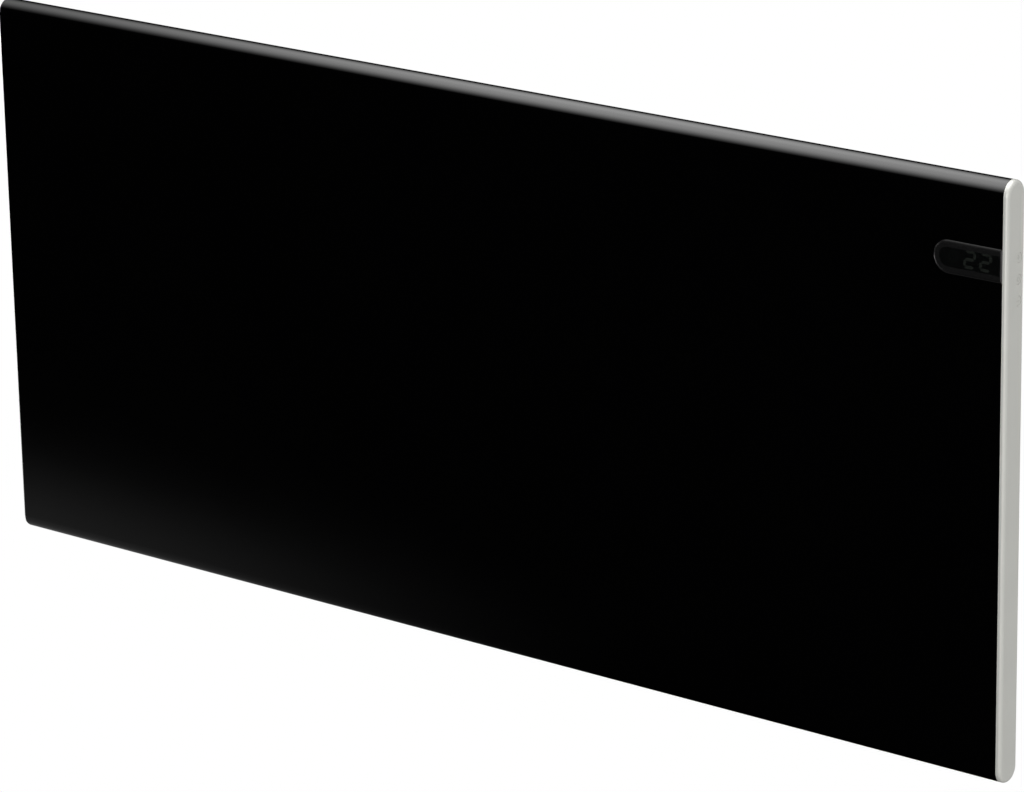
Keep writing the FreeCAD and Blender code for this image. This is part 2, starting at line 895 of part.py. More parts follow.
def make_grille(name, low):
    """Slotted strip that closes an air opening from inside the casing."""
    body = new_body(name)
    strip = sketch_on(body, "XY_Plane", low)
    rectangle(
        strip,
        (-grille_half - dim.grille_overlap, -grille_far - dim.grille_overlap),
        (grille_half + dim.grille_overlap, -grille_near + dim.grille_overlap),
    )
    pad(body, strip, dim.grille_thick)
    slots = sketch_on(body, "XY_Plane", low + dim.grille_thick + dim.cut_overrun)
    pitch = 2 * grille_half / GRILLE_COLUMNS
    first = -grille_half + dim.slot_bridge / 2
    middle = -(grille_near + grille_far) / 2
    for row in GRILLE_ROWS:
        near = middle + row * dim.slot_row_pitch - dim.slot_width / 2
        rectangle(slots, (first, near), (first + pitch - dim.slot_bridge, near + dim.slot_width))
    column = through_sheet(body, slots, dim.grille_thick)
    pattern = body.newObject("PartDesign::LinearPattern", f"{name}_pattern")
    pattern.Originals = [column]
    pattern.Direction = (origin_part(body, "X_Axis"), [""])
    pattern.Occurrences = GRILLE_COLUMNS
    bind(pattern, {"Length": (GRILLE_COLUMNS - 1) * pitch})
    body.Tip = pattern
    return body


def make_heating_element():
    """Aluminium extrusion: a bored hub with four slanting fins, each with a foot along its edge."""
    body = new_body("heating_element")
    hub = sketch_on(body, "YZ_Plane")
    circle(hub, -element_out, element_up, dim.hub_radius)
    pad(body, hub, 2 * element_half, both_ways=True)
    half_depth = dim.element_depth / 2
    half_height = dim.element_height / 2
    half_fin = dim.fin_thick / 2
    top = element_up + half_height
    bottom = element_up - half_height
    for lean in (1, -1):
        fins = sketch_on(body, "YZ_Plane")
        low = -element_out - lean * half_depth
        high = -element_out + lean * half_depth
        outline(
            fins,
            (low - half_fin, bottom),
            (low + half_fin, bottom),
            (high + half_fin, top),
            (high - half_fin, top),
        )
        pad(body, fins, 2 * element_half, both_ways=True)
    feet = sketch_on(body, "YZ_Plane")
    for lean in (1, -1):
        middle = -element_out + lean * half_depth
        for low in (bottom, top - dim.fin_thick):
            rectangle(
                feet,
                (middle - dim.fin_foot / 2, low),
                (middle + dim.fin_foot / 2, low + dim.fin_thick),
            )
    pad(body, feet, 2 * element_half, both_ways=True)
    bore = sketch_on(body, "YZ_Plane", element_half + dim.cut_overrun)
    circle(bore, -element_out, element_up, dim.rod_radius + dim.rod_gap)
    pocket(body, bore, 2 * element_half + 2 * dim.cut_overrun)
    return body


def make_element_rod():
    """Sheathed heating rod with a square terminal pin at each end."""
    place = (element_out, element_up)
    sheath = rod("rod_sheath", SIDEWAYS, (-rod_half, *place), 2 * rod_half, dim.rod_radius)
    reach = dim.pin_width / 2
    pins = block(
        "rod_pins",
        (-pin_end, pin_end),
        (element_out - reach, element_out + reach),
        (element_up - reach, element_up + reach),
    )
    return fuse("element_rod", sheath, pins)


def make_element_bushes():
    """Ceramic blocks that hold the rod in its supports."""
    bushes = []
    for side in (1, -1):
        start = side * support_middle - dim.bush_length / 2
        place = (element_out, element_up)
        case = block(
            f"bush_case_{len(bushes)}",
            (start, start + dim.bush_length),
            (element_out - bush_half, element_out + bush_half),
            (element_up - bush_half, element_up + bush_half),
        )
        bore = rod(
            f"bush_bore_{len(bushes)}",
            SIDEWAYS,
            (start - dim.cut_overrun, *place),
            dim.bush_length + 2 * dim.cut_overrun,
            dim.rod_radius + dim.rod_gap,
        )
        bushes.append(cut(f"bush_{len(bushes)}", case, bore))
    return group("element_bushes", *bushes)


def make_element_support(name, side):
    """Bent plate on the casing's back that holds one end of the rod."""
    body = new_body(name)
    plan = sketch_on(body, "XY_Plane", element_up - dim.support_height / 2)
    near, far = side * support_near, side * support_far
    foot = side * (support_far + dim.support_foot)
    foot_out = casing_inside + dim.support_thick
    tip_out = casing_inside + dim.support_reach
    outline(
        plan,
        (near, -casing_inside),
        (foot, -casing_inside),
        (foot, -foot_out),
        (far, -foot_out),
        (far, -tip_out),
        (near, -tip_out),
    )
    pad(body, plan, dim.support_height)
    hole = sketch_on(body, "YZ_Plane", side * support_middle)
    reach = bush_half + dim.rod_gap
    rectangle(
        hole,
        (-element_out - reach, element_up - reach),
        (-element_out + reach, element_up + reach),
    )
    drill = pocket(body, hole, dim.support_thick + 2 * dim.cut_overrun)
    drill.SideType = "Symmetric"
    return body


def make_heat_shield():
    """Bright tray between the element and the casing's back."""
    body = new_body("heat_shield")
    face = casing_inside + dim.shield_stand
    front = face + dim.shield_sheet
    bottom = shield_bottom
    top = bottom + dim.shield_height
    profile = sketch_on(body, "YZ_Plane")
    outline(
        profile,
        (-casing_inside, top - dim.shield_sheet),
        (-casing_inside, top),
        (-front, top),
        (-front, bottom),
        (-casing_inside, bottom),
        (-casing_inside, bottom + dim.shield_sheet),
        (-face, bottom + dim.shield_sheet),
        (-face, top - dim.shield_sheet),
    )
    pad(body, profile, 2 * (element_half - dim.shield_end_inset), both_ways=True)
    return body


def make_overheat_cutout():
    """Disc thermostat on the casing's back with a tab at each side."""
    disc = rod(
        "cutout_disc",
        OUTWARD,
        (cutout_across, casing_inside, cutout_up),
        dim.cutout_depth,
        dim.cutout_radius,
    )
    tabs = block(
        "cutout_tabs",
        (cutout_across - tab_reach, cutout_across + tab_reach),
        (tab_out - dim.tab_thick / 2, tab_out + dim.tab_thick / 2),
        (cutout_up - dim.tab_width / 2, cutout_up + dim.tab_width / 2),
    )
    return fuse("overheat_cutout", disc, tabs)


def make_terminal_block():
    """Three-way terminal block with its screw wells."""
    case = block(
        "terminal_case",
        (terminal_left, terminal_right),
        (casing_inside, casing_inside + dim.terminal_depth),
        (terminal_up - dim.terminal_height / 2, terminal_top),
    )
    pitch = dim.terminal_length / len(TERMINALS)
    middle = (terminal_left + terminal_right) / 2
    reach = dim.terminal_well_width / 2
    front = casing_inside + dim.terminal_depth
    wells = [
        block(
            f"terminal_well_{step + 1}",
            (middle + step * pitch - reach, middle + step * pitch + reach),
            (front - dim.terminal_well_depth, front + dim.cut_overrun),
            (terminal_up - reach, terminal_up + reach),
        )
        for step in TERMINALS
    ]
    return cut("terminal_block", case, *wells)


def make_power_switch_body():
    """Switch case in the casing's right wall, with a rim outside and a well for the rocker."""
    body = new_body("power_switch_body")
    reach, rise = switch_width / 2, switch_half
    case = sketch_on(body, "YZ_Plane", switch_back)
    rectangle(case, (-switch_out - reach, switch_up - rise), (-switch_out + reach, switch_up + rise))
    pad(body, case, dim.switch_depth)
    rim = sketch_on(body, "YZ_Plane", casing_half)
    reach, rise = reach + dim.switch_rim, rise + dim.switch_rim
    rectangle(rim, (-switch_out - reach, switch_up - rise), (-switch_out + reach, switch_up + rise))
    pad(body, rim, dim.switch_rim_thick)
    well = sketch_on(body, "YZ_Plane", switch_front + dim.cut_overrun)
    reach, rise = switch_cavity_width / 2, switch_cavity_half
    rectangle(well, (-switch_out - reach, switch_up - rise), (-switch_out + reach, switch_up + rise))
    well_floor = rocker_across - switch_cavity_half
    pocket(body, well, switch_front + dim.cut_overrun - well_floor)
    pivots = sketch_on(body, "XZ_Plane", switch_out + dim.rocker_width / 2 + dim.rocker_pin_reach)
    circle(pivots, rocker_across, switch_up, dim.rocker_pin_radius + dim.rocker_pin_gap)
    pocket(body, pivots, dim.rocker_width + 2 * dim.rocker_pin_reach)
    return body


def make_power_switch_rocker():
    """Rocker with a narrow back, a dipped face and a pivot pin, leaning to its off side."""
    body = new_body("power_switch_rocker")
    rise, half = dim.rocker_rise, dim.rocker_half
    profile = sketch_on(body, "XZ_Plane")
    outline(
        profile,
        (rise, -half),
        (dim.rocker_dip, 0),
        (rise, half),
        (-dim.rocker_back, dim.rocker_back_half),
        (-dim.rocker_back, -dim.rocker_back_half),
    )
    pad(body, profile, dim.rocker_width, both_ways=True)
    pin = sketch_on(body, "XZ_Plane")
    circle(pin, 0, 0, dim.rocker_pin_radius)
    pad(body, pin, dim.rocker_width + 2 * dim.rocker_pin_reach - dim.rocker_side_gap, both_ways=True)
    lean = FreeCAD.Rotation(FreeCAD.Vector(0, 1, 0), ROCKER_REST_DEGREES)
    return place_round(body, lean, rocker_across, switch_out, switch_up)


def make_cable_gland():
    """Rubber cord gland in the casing's right wall, bored from outside down to a thin membrane."""
    place = (gland_out, gland_up)
    nut_start = casing_half - dim.casing_sheet - dim.gland_nut_length
    rim_end = casing_half + dim.gland_rim_thick
    nut = doc.addObject("Part::Prism", "gland_nut")
    nut.Polygon = NUT_SIDES
    bind(nut, {"Circumradius": dim.gland_nut, "Height": dim.gland_nut_length})
    place_round(nut, SIDEWAYS, nut_start, *place)
    neck = rod("gland_neck", SIDEWAYS, (nut_start, *place), casing_half - nut_start, dim.gland_neck)
    rim = rod("gland_rim", SIDEWAYS, (casing_half, *place), dim.gland_rim_thick, dim.gland_rim)
    sleeve = rod("gland_sleeve", SIDEWAYS, (rim_end, *place), dim.gland_sleeve_length, dim.gland_neck)
    bore_start = nut_start + dim.gland_membrane
    length = rim_end + dim.gland_sleeve_length - bore_start + dim.cut_overrun
    bore = rod("gland_bore", SIDEWAYS, (bore_start, *place), length, dim.gland_bore)
    return cut("cable_gland", fuse("gland_solid", nut, neck, rim, sleeve), bore)


def make_sensor_holder():
    """Cap and neck that hold the room sensor in the casing's flange."""
    cap_back = flange_back - dim.sensor_cap_length
    length = dim.sensor_cap_length + dim.casing_sheet + dim.sensor_neck_length
    cap = rod(
        "sensor_cap",
        OUTWARD,
        (sensor_across, cap_back, sensor_up),
        dim.sensor_cap_length,
        dim.sensor_cap_radius,
    )
    neck = rod("sensor_neck", OUTWARD, (sensor_across, cap_back, sensor_up), length, dim.sensor_neck_radius)
    bore = rod(
        "sensor_bore",
        OUTWARD,
        (sensor_across, cap_back - dim.cut_overrun, sensor_up),
        length + 2 * dim.cut_overrun,
        dim.sensor_radius + dim.sensor_gap,
    )
    return cut("sensor_holder", fuse("sensor_solid", cap, neck), bore)


def make_room_sensor():
    """Sensor bead in the holder's bore, just inside its open end."""
    start = flange_back - dim.sensor_cap_length + dim.sensor_sink
    return rod(
        "room_sensor",
        OUTWARD,
        (sensor_across, start, sensor_up),
        lead_out - start,
        dim.sensor_radius,
    )


def make_hanger_bars():
    """Bars with a foot at each end, inside the casing's back, that hang on the hooks."""
    bars = []
    for side in (1, -1):
        start = side * dim.hanger_across - dim.hanger_length / 2
        bar = rod(
            f"hanger_bar_{len(bars)}",
            SIDEWAYS,
            (start, hanger_out, hanger_up),
            dim.hanger_length,
            dim.hanger_radius,
        )
        feet = [
            block(
                f"hanger_foot_{len(bars)}_{end}",
                (foot, foot + dim.hanger_foot),
                (casing_inside, hanger_out),
                (hanger_up - dim.hanger_radius, hanger_up + dim.hanger_radius),
            )
            for end, foot in enumerate((start, start + dim.hanger_length - dim.hanger_foot))
        ]
        bars.append(fuse(f"hanger_{len(bars)}", bar, *feet))
    return group("hanger_bars", *bars)


def make_wall_bumpers():
    """Rubber buttons on the casing's back that rest on the rails."""
    bumpers = [
        rod(
            f"bumper_{name}",
            OUTWARD,
            (side * dim.hanger_across, dim.rail_depth, dim.bumper_rise - casing_up),
            dim.wall_gap - dim.rail_depth,
            dim.bumper_radius,
        )
        for name, side in (("right", 1), ("left", -1))
    ]
    return group("wall_bumpers", *bumpers)


def make_bracket_rail(name, side):
    """Hat-section rail with a hook plate at its top and screw holes in its outer flange."""
    body = new_body(name)
    middle = side * dim.hanger_across
    web_in = rail_half - dim.rail_sheet
    rail_bottom = clip_up - dim.rail_below
    plan = sketch_on(body, "XY_Plane", rail_bottom)
    outline(
        plan,
        (middle - rail_edge, 0),
        (middle - web_in, 0),
        (middle - web_in, dim.rail_sheet - dim.rail_depth),
        (middle + web_in, dim.rail_sheet - dim.rail_depth),
        (middle + web_in, 0),
        (middle + rail_edge, 0),
        (middle + rail_edge, -dim.rail_sheet),
        (middle + rail_half, -dim.rail_sheet),
        (middle + rail_half, -dim.rail_depth),
        (middle - rail_half, -dim.rail_depth),
        (middle - rail_half, -dim.rail_sheet),
        (middle - rail_edge, -dim.rail_sheet),
    )
    pad(body, plan, hanger_up + dim.rail_above - rail_bottom)
    hook_root = dim.rail_depth - dim.rail_sheet
    hook_tip = hanger_out + hook_notch + dim.hook_lip
    hook = sketch_on(body, "YZ_Plane", middle)
    outline(
        hook,
        (-hook_root, hanger_up - dim.hook_depth),
        (-hook_root, hanger_up),
        (-hanger_out + hook_notch, hanger_up),
        bend(-hanger_out - hook_notch, hanger_up, -hanger_out, hanger_up, left=False),
        (-hanger_out - hook_notch, hanger_up + dim.hook_lip_height),
        (-hook_tip, hanger_up + dim.hook_lip_height),
        (-hook_tip, hanger_up - dim.hook_depth),
    )
    pad(body, hook, dim.hook_thick, both_ways=True)
    holes = sketch_on(body, "XZ_Plane", dim.rail_sheet + dim.cut_overrun)
    for row in (1, -1):
        circle(holes, middle + side * wall_screw_offset, row * (hanger_up - dim.wall_screw_drop), dim.wall_screw_radius)
    through_sheet(body, holes, dim.rail_sheet)
    return body


def make_bracket_bar(name, up):
    """Flat bar with a stiffening lip that joins the two rails."""
    body = new_body(name)
    low = up - dim.bar_height / 2
    high = up + dim.bar_height / 2
    profile = sketch_on(body, "YZ_Plane")
    outline(
        profile,
        (0, low),
        (0, high),
        (-dim.rail_sheet - dim.bar_lip, high),
        (-dim.rail_sheet - dim.bar_lip, high - dim.rail_sheet),
        (-dim.rail_sheet, high - dim.rail_sheet),
        (-dim.rail_sheet, low),
    )
    pad(body, profile, 2 * (dim.hanger_across - rail_edge), both_ways=True)
    return body


def make_spring_clip(name, side):
    """Spring strip on a rail whose nose snaps behind the casing's back."""
    body = new_body(name)
    tip = clip_hook + dim.clip_reach
    under = clip_up - dim.clip_thick
    base = dim.rail_depth + dim.clip_thick
    profile = sketch_on(body, "YZ_Plane", side * dim.hanger_across)
    outline(
        profile,
        (-dim.rail_depth, clip_up - dim.clip_base),
        (-dim.rail_depth, clip_up),
        (-clip_hook, clip_up),
        (-clip_hook, clip_up + dim.clip_nose),
        (-clip_hook - dim.clip_nose_flat, clip_up + dim.clip_nose),
        (-tip, clip_up),
        (-tip, under),
        (-base, under),
        (-base, clip_up - dim.clip_base),
    )
    pad(body, profile, dim.clip_width, both_ways=True)
    return body


def vector(place):
    """A point in space for an (across, out, up) place."""
    across, out, up = place
    return FreeCAD.Vector(flat(across), -flat(out), flat(up))


def ring(centre, axis, radius, sides):
    """The closed corners of a regular polygon round an axis."""
    turn = FreeCAD.Rotation(FreeCAD.Vector(0, 0, 1), axis)
    angles = [2 * math.pi * side / sides for side in range(sides + 1)]
    corners = [FreeCAD.Vector(radius * math.cos(angle), radius * math.sin(angle), 0) for angle in angles]
    return [centre + turn.multVec(corner) for corner in corners]


def make_lead(name, *places):
    """Insulated wire, six-sided, along straight runs whose bends are two short chords each."""
    points = [vector(place) for place in places]
    stops = [points[0]]
    for before, corner, after in zip(points, points[1:], points[2:]):
        inward = (corner - before).normalize()
        onward = (after - corner).normalize()
        half_turn = math.acos(max(-1.0, min(1.0, inward.dot(onward)))) / 2
        tangent = dim.lead_bend.value * math.tan(half_turn)
        first = corner - inward * tangent
        last = corner + onward * tangent
        centre_line = (onward - inward).normalize()
        middle = corner + centre_line * (dim.lead_bend.value * (1 / math.cos(half_turn) - 1))
        stops += [first, middle, last]
    path = Part.makePolygon([*stops, points[-1]])
    radius = dim.lead_radius.value
    section = Part.makePolygon(ring(points[0], points[1] - points[0], radius, LEAD_SIDES))
    item = doc.addObject("Part::Feature", name)
    item.Shape = path.makePipeShell([section], True, False, MITRED)
    expected = LEAD_SIDES / 2 * radius**2 * math.sin(2 * math.pi / LEAD_SIDES) * path.Length
    if abs(item.Shape.Volume / expected - 1) > 0.01:
        raise RuntimeError(f"{name} isn't a plain tube")
    return item


def make_leads():
    """The circuit: terminal block, switch, board, element, cut-out and back, and the sensor's lead."""
    turn_across = pin_end + dim.lead_straight
    switch_top = switch_up + switch_half
    switch_bottom = switch_up - switch_half
    supply_turn = switch_bottom - dim.lead_slack
    supply_across = terminal_right - dim.terminal_lead_inset
    return_across = terminal_left + dim.terminal_lead_inset
    connector_lead = (lead_out, connector_bottom)
    element_rise = element_up + dim.lead_slack
    return [
        make_lead(
            "supply_lead",
            (supply_across, terminal_out, terminal_top),
            (supply_across, terminal_out, supply_turn),
            (switch_lead_across, switch_out, supply_turn),
            (switch_lead_across, switch_out, switch_bottom),
        ),
        make_lead(
            "switched_lead",
            (switch_lead_across, switch_out, switch_top),
            (switch_lead_across, switch_out, switch_top + dim.lead_slack),
            (switch_lead_across, lead_out, switch_top + dim.lead_slack),
            (switched_lead_across, lead_out, switch_top + 2 * dim.lead_slack),
            (switched_lead_across, *connector_lead),
        ),
        make_lead(
            "element_lead",
            (pin_end, element_out, element_up),
            (turn_across, element_out, element_up),
            (turn_across, lead_out, element_rise),
            (element_lead_across, lead_out, element_rise + dim.lead_slack),
            (element_lead_across, *connector_lead),
        ),
        make_lead(
            "return_lead_left",
            (-pin_end, element_out, element_up),
            (-turn_across, element_out, element_up),
            (-turn_across, tab_out, cutout_up),
            (cutout_across - tab_reach, tab_out, cutout_up),
        ),
        make_lead(
            "return_lead_right",
            (cutout_across + tab_reach, tab_out, cutout_up),
            (return_across, tab_out, cutout_up),
            (return_across, tab_out, terminal_top),
        ),
        make_lead(
            "sensor_lead",
            (sensor_across, lead_out, sensor_up),
            (sensor_across, lead_out + dim.lead_straight, sensor_up),
            (sensor_across, lead_out + dim.lead_straight, sensor_up + 2 * dim.lead_slack),
            (sensor_across, lead_out, sensor_up + 2 * dim.lead_slack + 2 * dim.lead_rise),
            (sensor_across, *connector_lead),
        ),
    ]


def make_pieces():
    """Every sub-part of the heater, each under its own name."""
    end_cap_right = make_end_cap("end_cap_right", 1)
    make_key_holes(end_cap_right)
    return [
        make_front_panel(),
        make_end_cap("end_cap_left", -1),
        end_cap_right,
        make_control_bezel(),
        make_display_lens(),
        make_display_module(),
        make_control_board(),
        make_power_relay(),
        make_board_connector(),
        make_control_housing(),
        make_key_switches(),
        *[make_key(name) for name in KEYS],
        make_rear_casing(),
        make_grille("outlet_grille", casing_up - dim.casing_sheet - dim.grille_thick),
        make_grille("inlet_grille", dim.casing_sheet - casing_up),
        make_heating_element(),
        make_element_rod(),
        make_element_bushes(),
        make_element_support("element_support_left", -1),
        make_element_support("element_support_right", 1),
        make_heat_shield(),
        make_overheat_cutout(),
        make_terminal_block(),
        make_power_switch_body(),
        make_power_switch_rocker(),
        make_cable_gland(),
        make_sensor_holder(),
        make_room_sensor(),
        make_hanger_bars(),
        make_wall_bumpers(),
        make_bracket_rail("bracket_rail_left", -1),
        make_bracket_rail("bracket_rail_right", 1),
        make_bracket_bar("bracket_bar_upper", hanger_up - dim.bar_drop),
        make_bracket_bar("bracket_bar_lower", clip_up + dim.bar_rise),
        make_spring_clip("spring_clip_left", -1),
        make_spring_clip("spring_clip_right", 1),
        *make_leads(),
    ]


def check(pieces):
    """Stop if any object of the document failed or any sub-part isn't a valid solid."""
    failed = [item.Name for item in doc.Objects if {"Invalid", "Error"} & set(item.State)]
    if failed:
        raise RuntimeError(f"these objects failed: {failed}")
    for piece in pieces:
        if piece.Shape.isNull() or not piece.Shape.isValid() or not piece.Shape.Solids:
            raise RuntimeError(f"{piece.Label} isn't a valid solid")


pieces = make_pieces()
doc.recompute()
check(pieces)
os.makedirs("parts", exist_ok=True)
for piece in pieces:
    piece.Shape.exportStep(os.path.join("parts", f"{piece.Label}.step"))
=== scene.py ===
"""Dresses the panel heater: finishes for the solid pieces, and the pieces that are too fine for them.

Lengths are in metres. X runs along the panel, Z is up and the front faces -Y, with the wall at y = 0.
"""

import json
import math

import bmesh
import bpy
from bpy.props import FloatProperty, FloatVectorProperty, IntProperty, PointerProperty, StringProperty
from mathutils import Matrix, Vector


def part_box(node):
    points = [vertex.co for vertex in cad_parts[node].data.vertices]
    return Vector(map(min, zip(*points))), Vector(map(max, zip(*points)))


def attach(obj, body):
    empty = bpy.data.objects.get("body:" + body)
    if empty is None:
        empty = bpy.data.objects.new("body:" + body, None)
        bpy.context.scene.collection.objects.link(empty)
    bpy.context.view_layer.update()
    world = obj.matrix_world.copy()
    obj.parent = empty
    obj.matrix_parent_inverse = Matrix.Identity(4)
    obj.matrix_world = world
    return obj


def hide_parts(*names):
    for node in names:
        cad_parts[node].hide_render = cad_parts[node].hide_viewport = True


bl_info = {
    "name": "Panel heater",
    "version": (1, 0, 0),
    "blender": (4, 5, 0),
    "location": "3D View > Sidebar > Panel heater",
    "description": "Builds the looks of a slim wall panel heater on its solid frame",
    "category": "Object",
}

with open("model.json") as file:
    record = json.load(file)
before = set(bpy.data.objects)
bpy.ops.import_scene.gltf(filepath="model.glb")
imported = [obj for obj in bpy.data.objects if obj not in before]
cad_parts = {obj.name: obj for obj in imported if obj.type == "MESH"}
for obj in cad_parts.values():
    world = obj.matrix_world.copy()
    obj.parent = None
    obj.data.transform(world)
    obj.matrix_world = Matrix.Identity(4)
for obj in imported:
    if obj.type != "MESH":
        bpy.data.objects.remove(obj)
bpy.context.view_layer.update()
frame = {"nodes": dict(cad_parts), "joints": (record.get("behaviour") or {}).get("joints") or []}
MM = 0.001

# Where the solid pieces stand
panel_low, panel_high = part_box("front_panel")
cap_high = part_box("end_cap_right")[1]
lens_low, lens_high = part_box("display_lens")
module_low, module_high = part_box("display_module")
gland_low, gland_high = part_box("cable_gland")
switch_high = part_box("power_switch_body")[1]
rocker_hinge = next(joint for joint in frame["joints"] if joint["name"] == "rocker_turn")

# Points closer than this are one, and a round face closes at this radius
JOIN = 0.001 * MM
PIN = 0.01 * MM

# The segments of a digit, clockwise from the top and then the middle: their middles, as shares of half
# its size, and whether they stand upright
SEGMENT_PLACE_SHARES = {
    "a": (0, 1, False),
    "b": (1, 0.5, True),
    "c": (1, -0.5, True),
    "d": (0, -1, False),
    "e": (-1, -0.5, True),
    "f": (-1, 0.5, True),
    "g": (0, 0, False),
}
SEGMENTS_OF = {
    "0": "abcdef",
    "1": "bc",
    "2": "abged",
    "3": "abgcd",
    "4": "fgbc",
    "5": "afgcd",
    "6": "afgcde",
    "7": "abc",
    "8": "abcdefg",
    "9": "abcdfg",
}

# Where the tent's bright parts fade in, from nothing to full, as shares of the tent's radius
RIGHT_SHARES = (-1.2, -0.5)
HAZE_RIGHT_SHARES = (-0.5, -1.15)
HAZE_LEFT_SHARES = (-1.75, -1.35)
HAZE_LOW_SHARES = (-0.42, -0.53)
SIDE_RIGHT_SHARES = (-1.45, -1.8)
SIDE_LEFT_SHARES = (-2.9, -2.5)

# The same round the tent's bend, as angles up from the front
GLOW_FRONT_RISES = (math.radians(18), math.radians(72))
GLOW_BACK_RISES = (math.radians(148), math.radians(92))
SIDE_LOW_RISES = (-0.75, -0.95)
BAND_LOW_RISES = (-0.05, 0.12)
BAND_HIGH_RISES = (0.5, 0.25)


def length(label, words, millimetres):
    """A property that holds a length."""
    size = millimetres * MM
    return FloatProperty(
        name=label, description=words, default=size, min=0.0, precision=5, subtype="DISTANCE", unit="LENGTH"
    )


def share(label, words, default):
    """A property that holds a share from 0 to 1."""
    return FloatProperty(name=label, description=words, default=default, min=0.0, max=1.0, subtype="FACTOR")


def colour(label, words, default):
    """A property that holds a colour."""
    return FloatVectorProperty(
        name=label, description=words, default=default, min=0.0, max=1.0, size=3, subtype="COLOR"
    )


def angle(label, words, degrees):
    """A property that holds an angle."""
    turn = math.radians(degrees)
    return FloatProperty(name=label, description=words, default=turn, subtype="ANGLE", unit="ROTATION")


def position(label, words, default):
    """A property that holds a place in the scene."""
    return FloatVectorProperty(
        name=label, description=words, default=default, size=3, subtype="TRANSLATION", unit="LENGTH"
    )


def count_of(label, words, default, least):
    """A property that holds a count."""
    return IntProperty(name=label, description=words, default=default, min=least)


def brightness(label, words, default):
    """A property that holds a brightness, where 1 is white."""
    return FloatProperty(name=label, description=words, default=default, min=0.0)


def wattage(label, words, watts):
    """A property that holds a lamp's power."""
    return FloatProperty(name=label, description=words, default=watts, min=0.0, subtype="POWER", unit="POWER")


def film_length(label, words, millimetres):
    """A property that holds a length inside the camera."""
    return FloatProperty(name=label, description=words, default=millimetres, min=1.0, unit="CAMERA")


class PanelSizes(bpy.types.PropertyGroup):
    """The lacquered front."""

    sheet: length("Sheet", "Thickness of the folded sheet", 1.2)
    lip: length("Lip", "Height of the lips behind the panel", 24.0)
    window_rim: length("Window rim", "From the lens's edge to the edge of the window in the sheet", 2.1)
    edge_steps: count_of("Edge steps", "Facets round each half-round edge", 40, 8)
    window_steps: count_of("Window steps", "Facets round the window's end", 32, 8)
    lacquer: colour("Lacquer", "Colour of the gloss black lacquer", (0.0004, 0.0004, 0.00045))
    gloss: share("Gloss", "Roughness of the lacquer", 0.07)


class CapFinish(bpy.types.PropertyGroup):
    """The end caps and the keys in them."""

    silver: colour("Silver", "Colour of the satin metallic paint", (0.50, 0.50, 0.47))
    flake_share: share("Metal share", "How metallic the paint is", 0.3)
    roughness: share("Roughness", "Roughness of the satin paint", 0.42)
    mark_size: length("Mark size", "Length of a mark on a key", 3.0)
    mark_stroke: length("Mark stroke", "Width of the strokes of a mark", 0.55)
    mark_height: length("Mark height", "How far a mark stands on its key", 0.08)
    mark_grey: colour("Mark grey", "Colour of the marks", (0.42, 0.42, 0.395))


class DisplaySizes(bpy.types.PropertyGroup):
    """The display window."""

    frame_gap: length("Frame gap", "Gap between the frame and the sheet", 0.2)
    frame_width: length("Frame width", "Width of the frame round the lens", 1.7)
    frame_crest: length("Frame crest", "Width of the frame's curved front", 2.3)
    frame_fall: length("Frame fall", "How far the frame curves back towards its outer edge", 0.6)
    frame_proud: length("Frame height", "How far the frame stands out of the front", 0.22)
    frame_steps: count_of("Frame steps", "Facets across the frame", 8, 2)
    frame_depth: length("Frame depth", "Depth of the frame behind the front", 1.6)
    frame_slope: length("Frame slope", "Width of the slope from the frame's crest down to the lens", 1.9)
    slope_edge: length("Slope edge", "Height of the slope's inner edge on the lens", 0.03)
    frame_crease: angle("Frame crease", "Bends that are sharper than this show as edges", 15.0)
    frame_grey: colour("Frame colour", "Colour of the frame's plastic", (0.0033, 0.0033, 0.0034))
    smoke: share("Smoke", "How much the lens hides of what is behind it", 0.78)
    module_black: colour("Module colour", "Colour of the module behind the lens", (0.008, 0.008, 0.008))
    digits: StringProperty(name="Digits", description="Number that the display shows", default="22")
    digit_height: length("Digit height", "Height of a digit", 11.4)
    digit_width: length("Digit width", "Width of a digit", 8.4)
    digit_pitch: length("Digit pitch", "From one digit to the next", 10.8)
    digit_stroke: length("Digit stroke", "Width of a lit segment", 1.9)
    digit_lean: angle("Digit lean", "Slant of the digits", 4.0)
    segment_gap: length("Segment gap", "Gap between neighbouring segments", 0.22)
    mark_thick: length("Mark thickness", "Thickness of the lit marks", 0.1)
    icon_offset: length("Icon offset", "From the right digit's middle to the icon", 22.0)
    icon_radius: length("Icon radius", "Radius of the round icon", 3.4)
    icon_stroke: length("Icon stroke", "Width of the icon's ring", 0.7)
    glow: colour("Glow", "Colour of the lit marks", (0.72, 0.84, 0.71))
    glow_strength: brightness("Glow strength", "Brightness of the lit marks", 0.27)
    icon_glow: share("Icon glow", "Brightness of the icon, as a share of the digits'", 0.3)


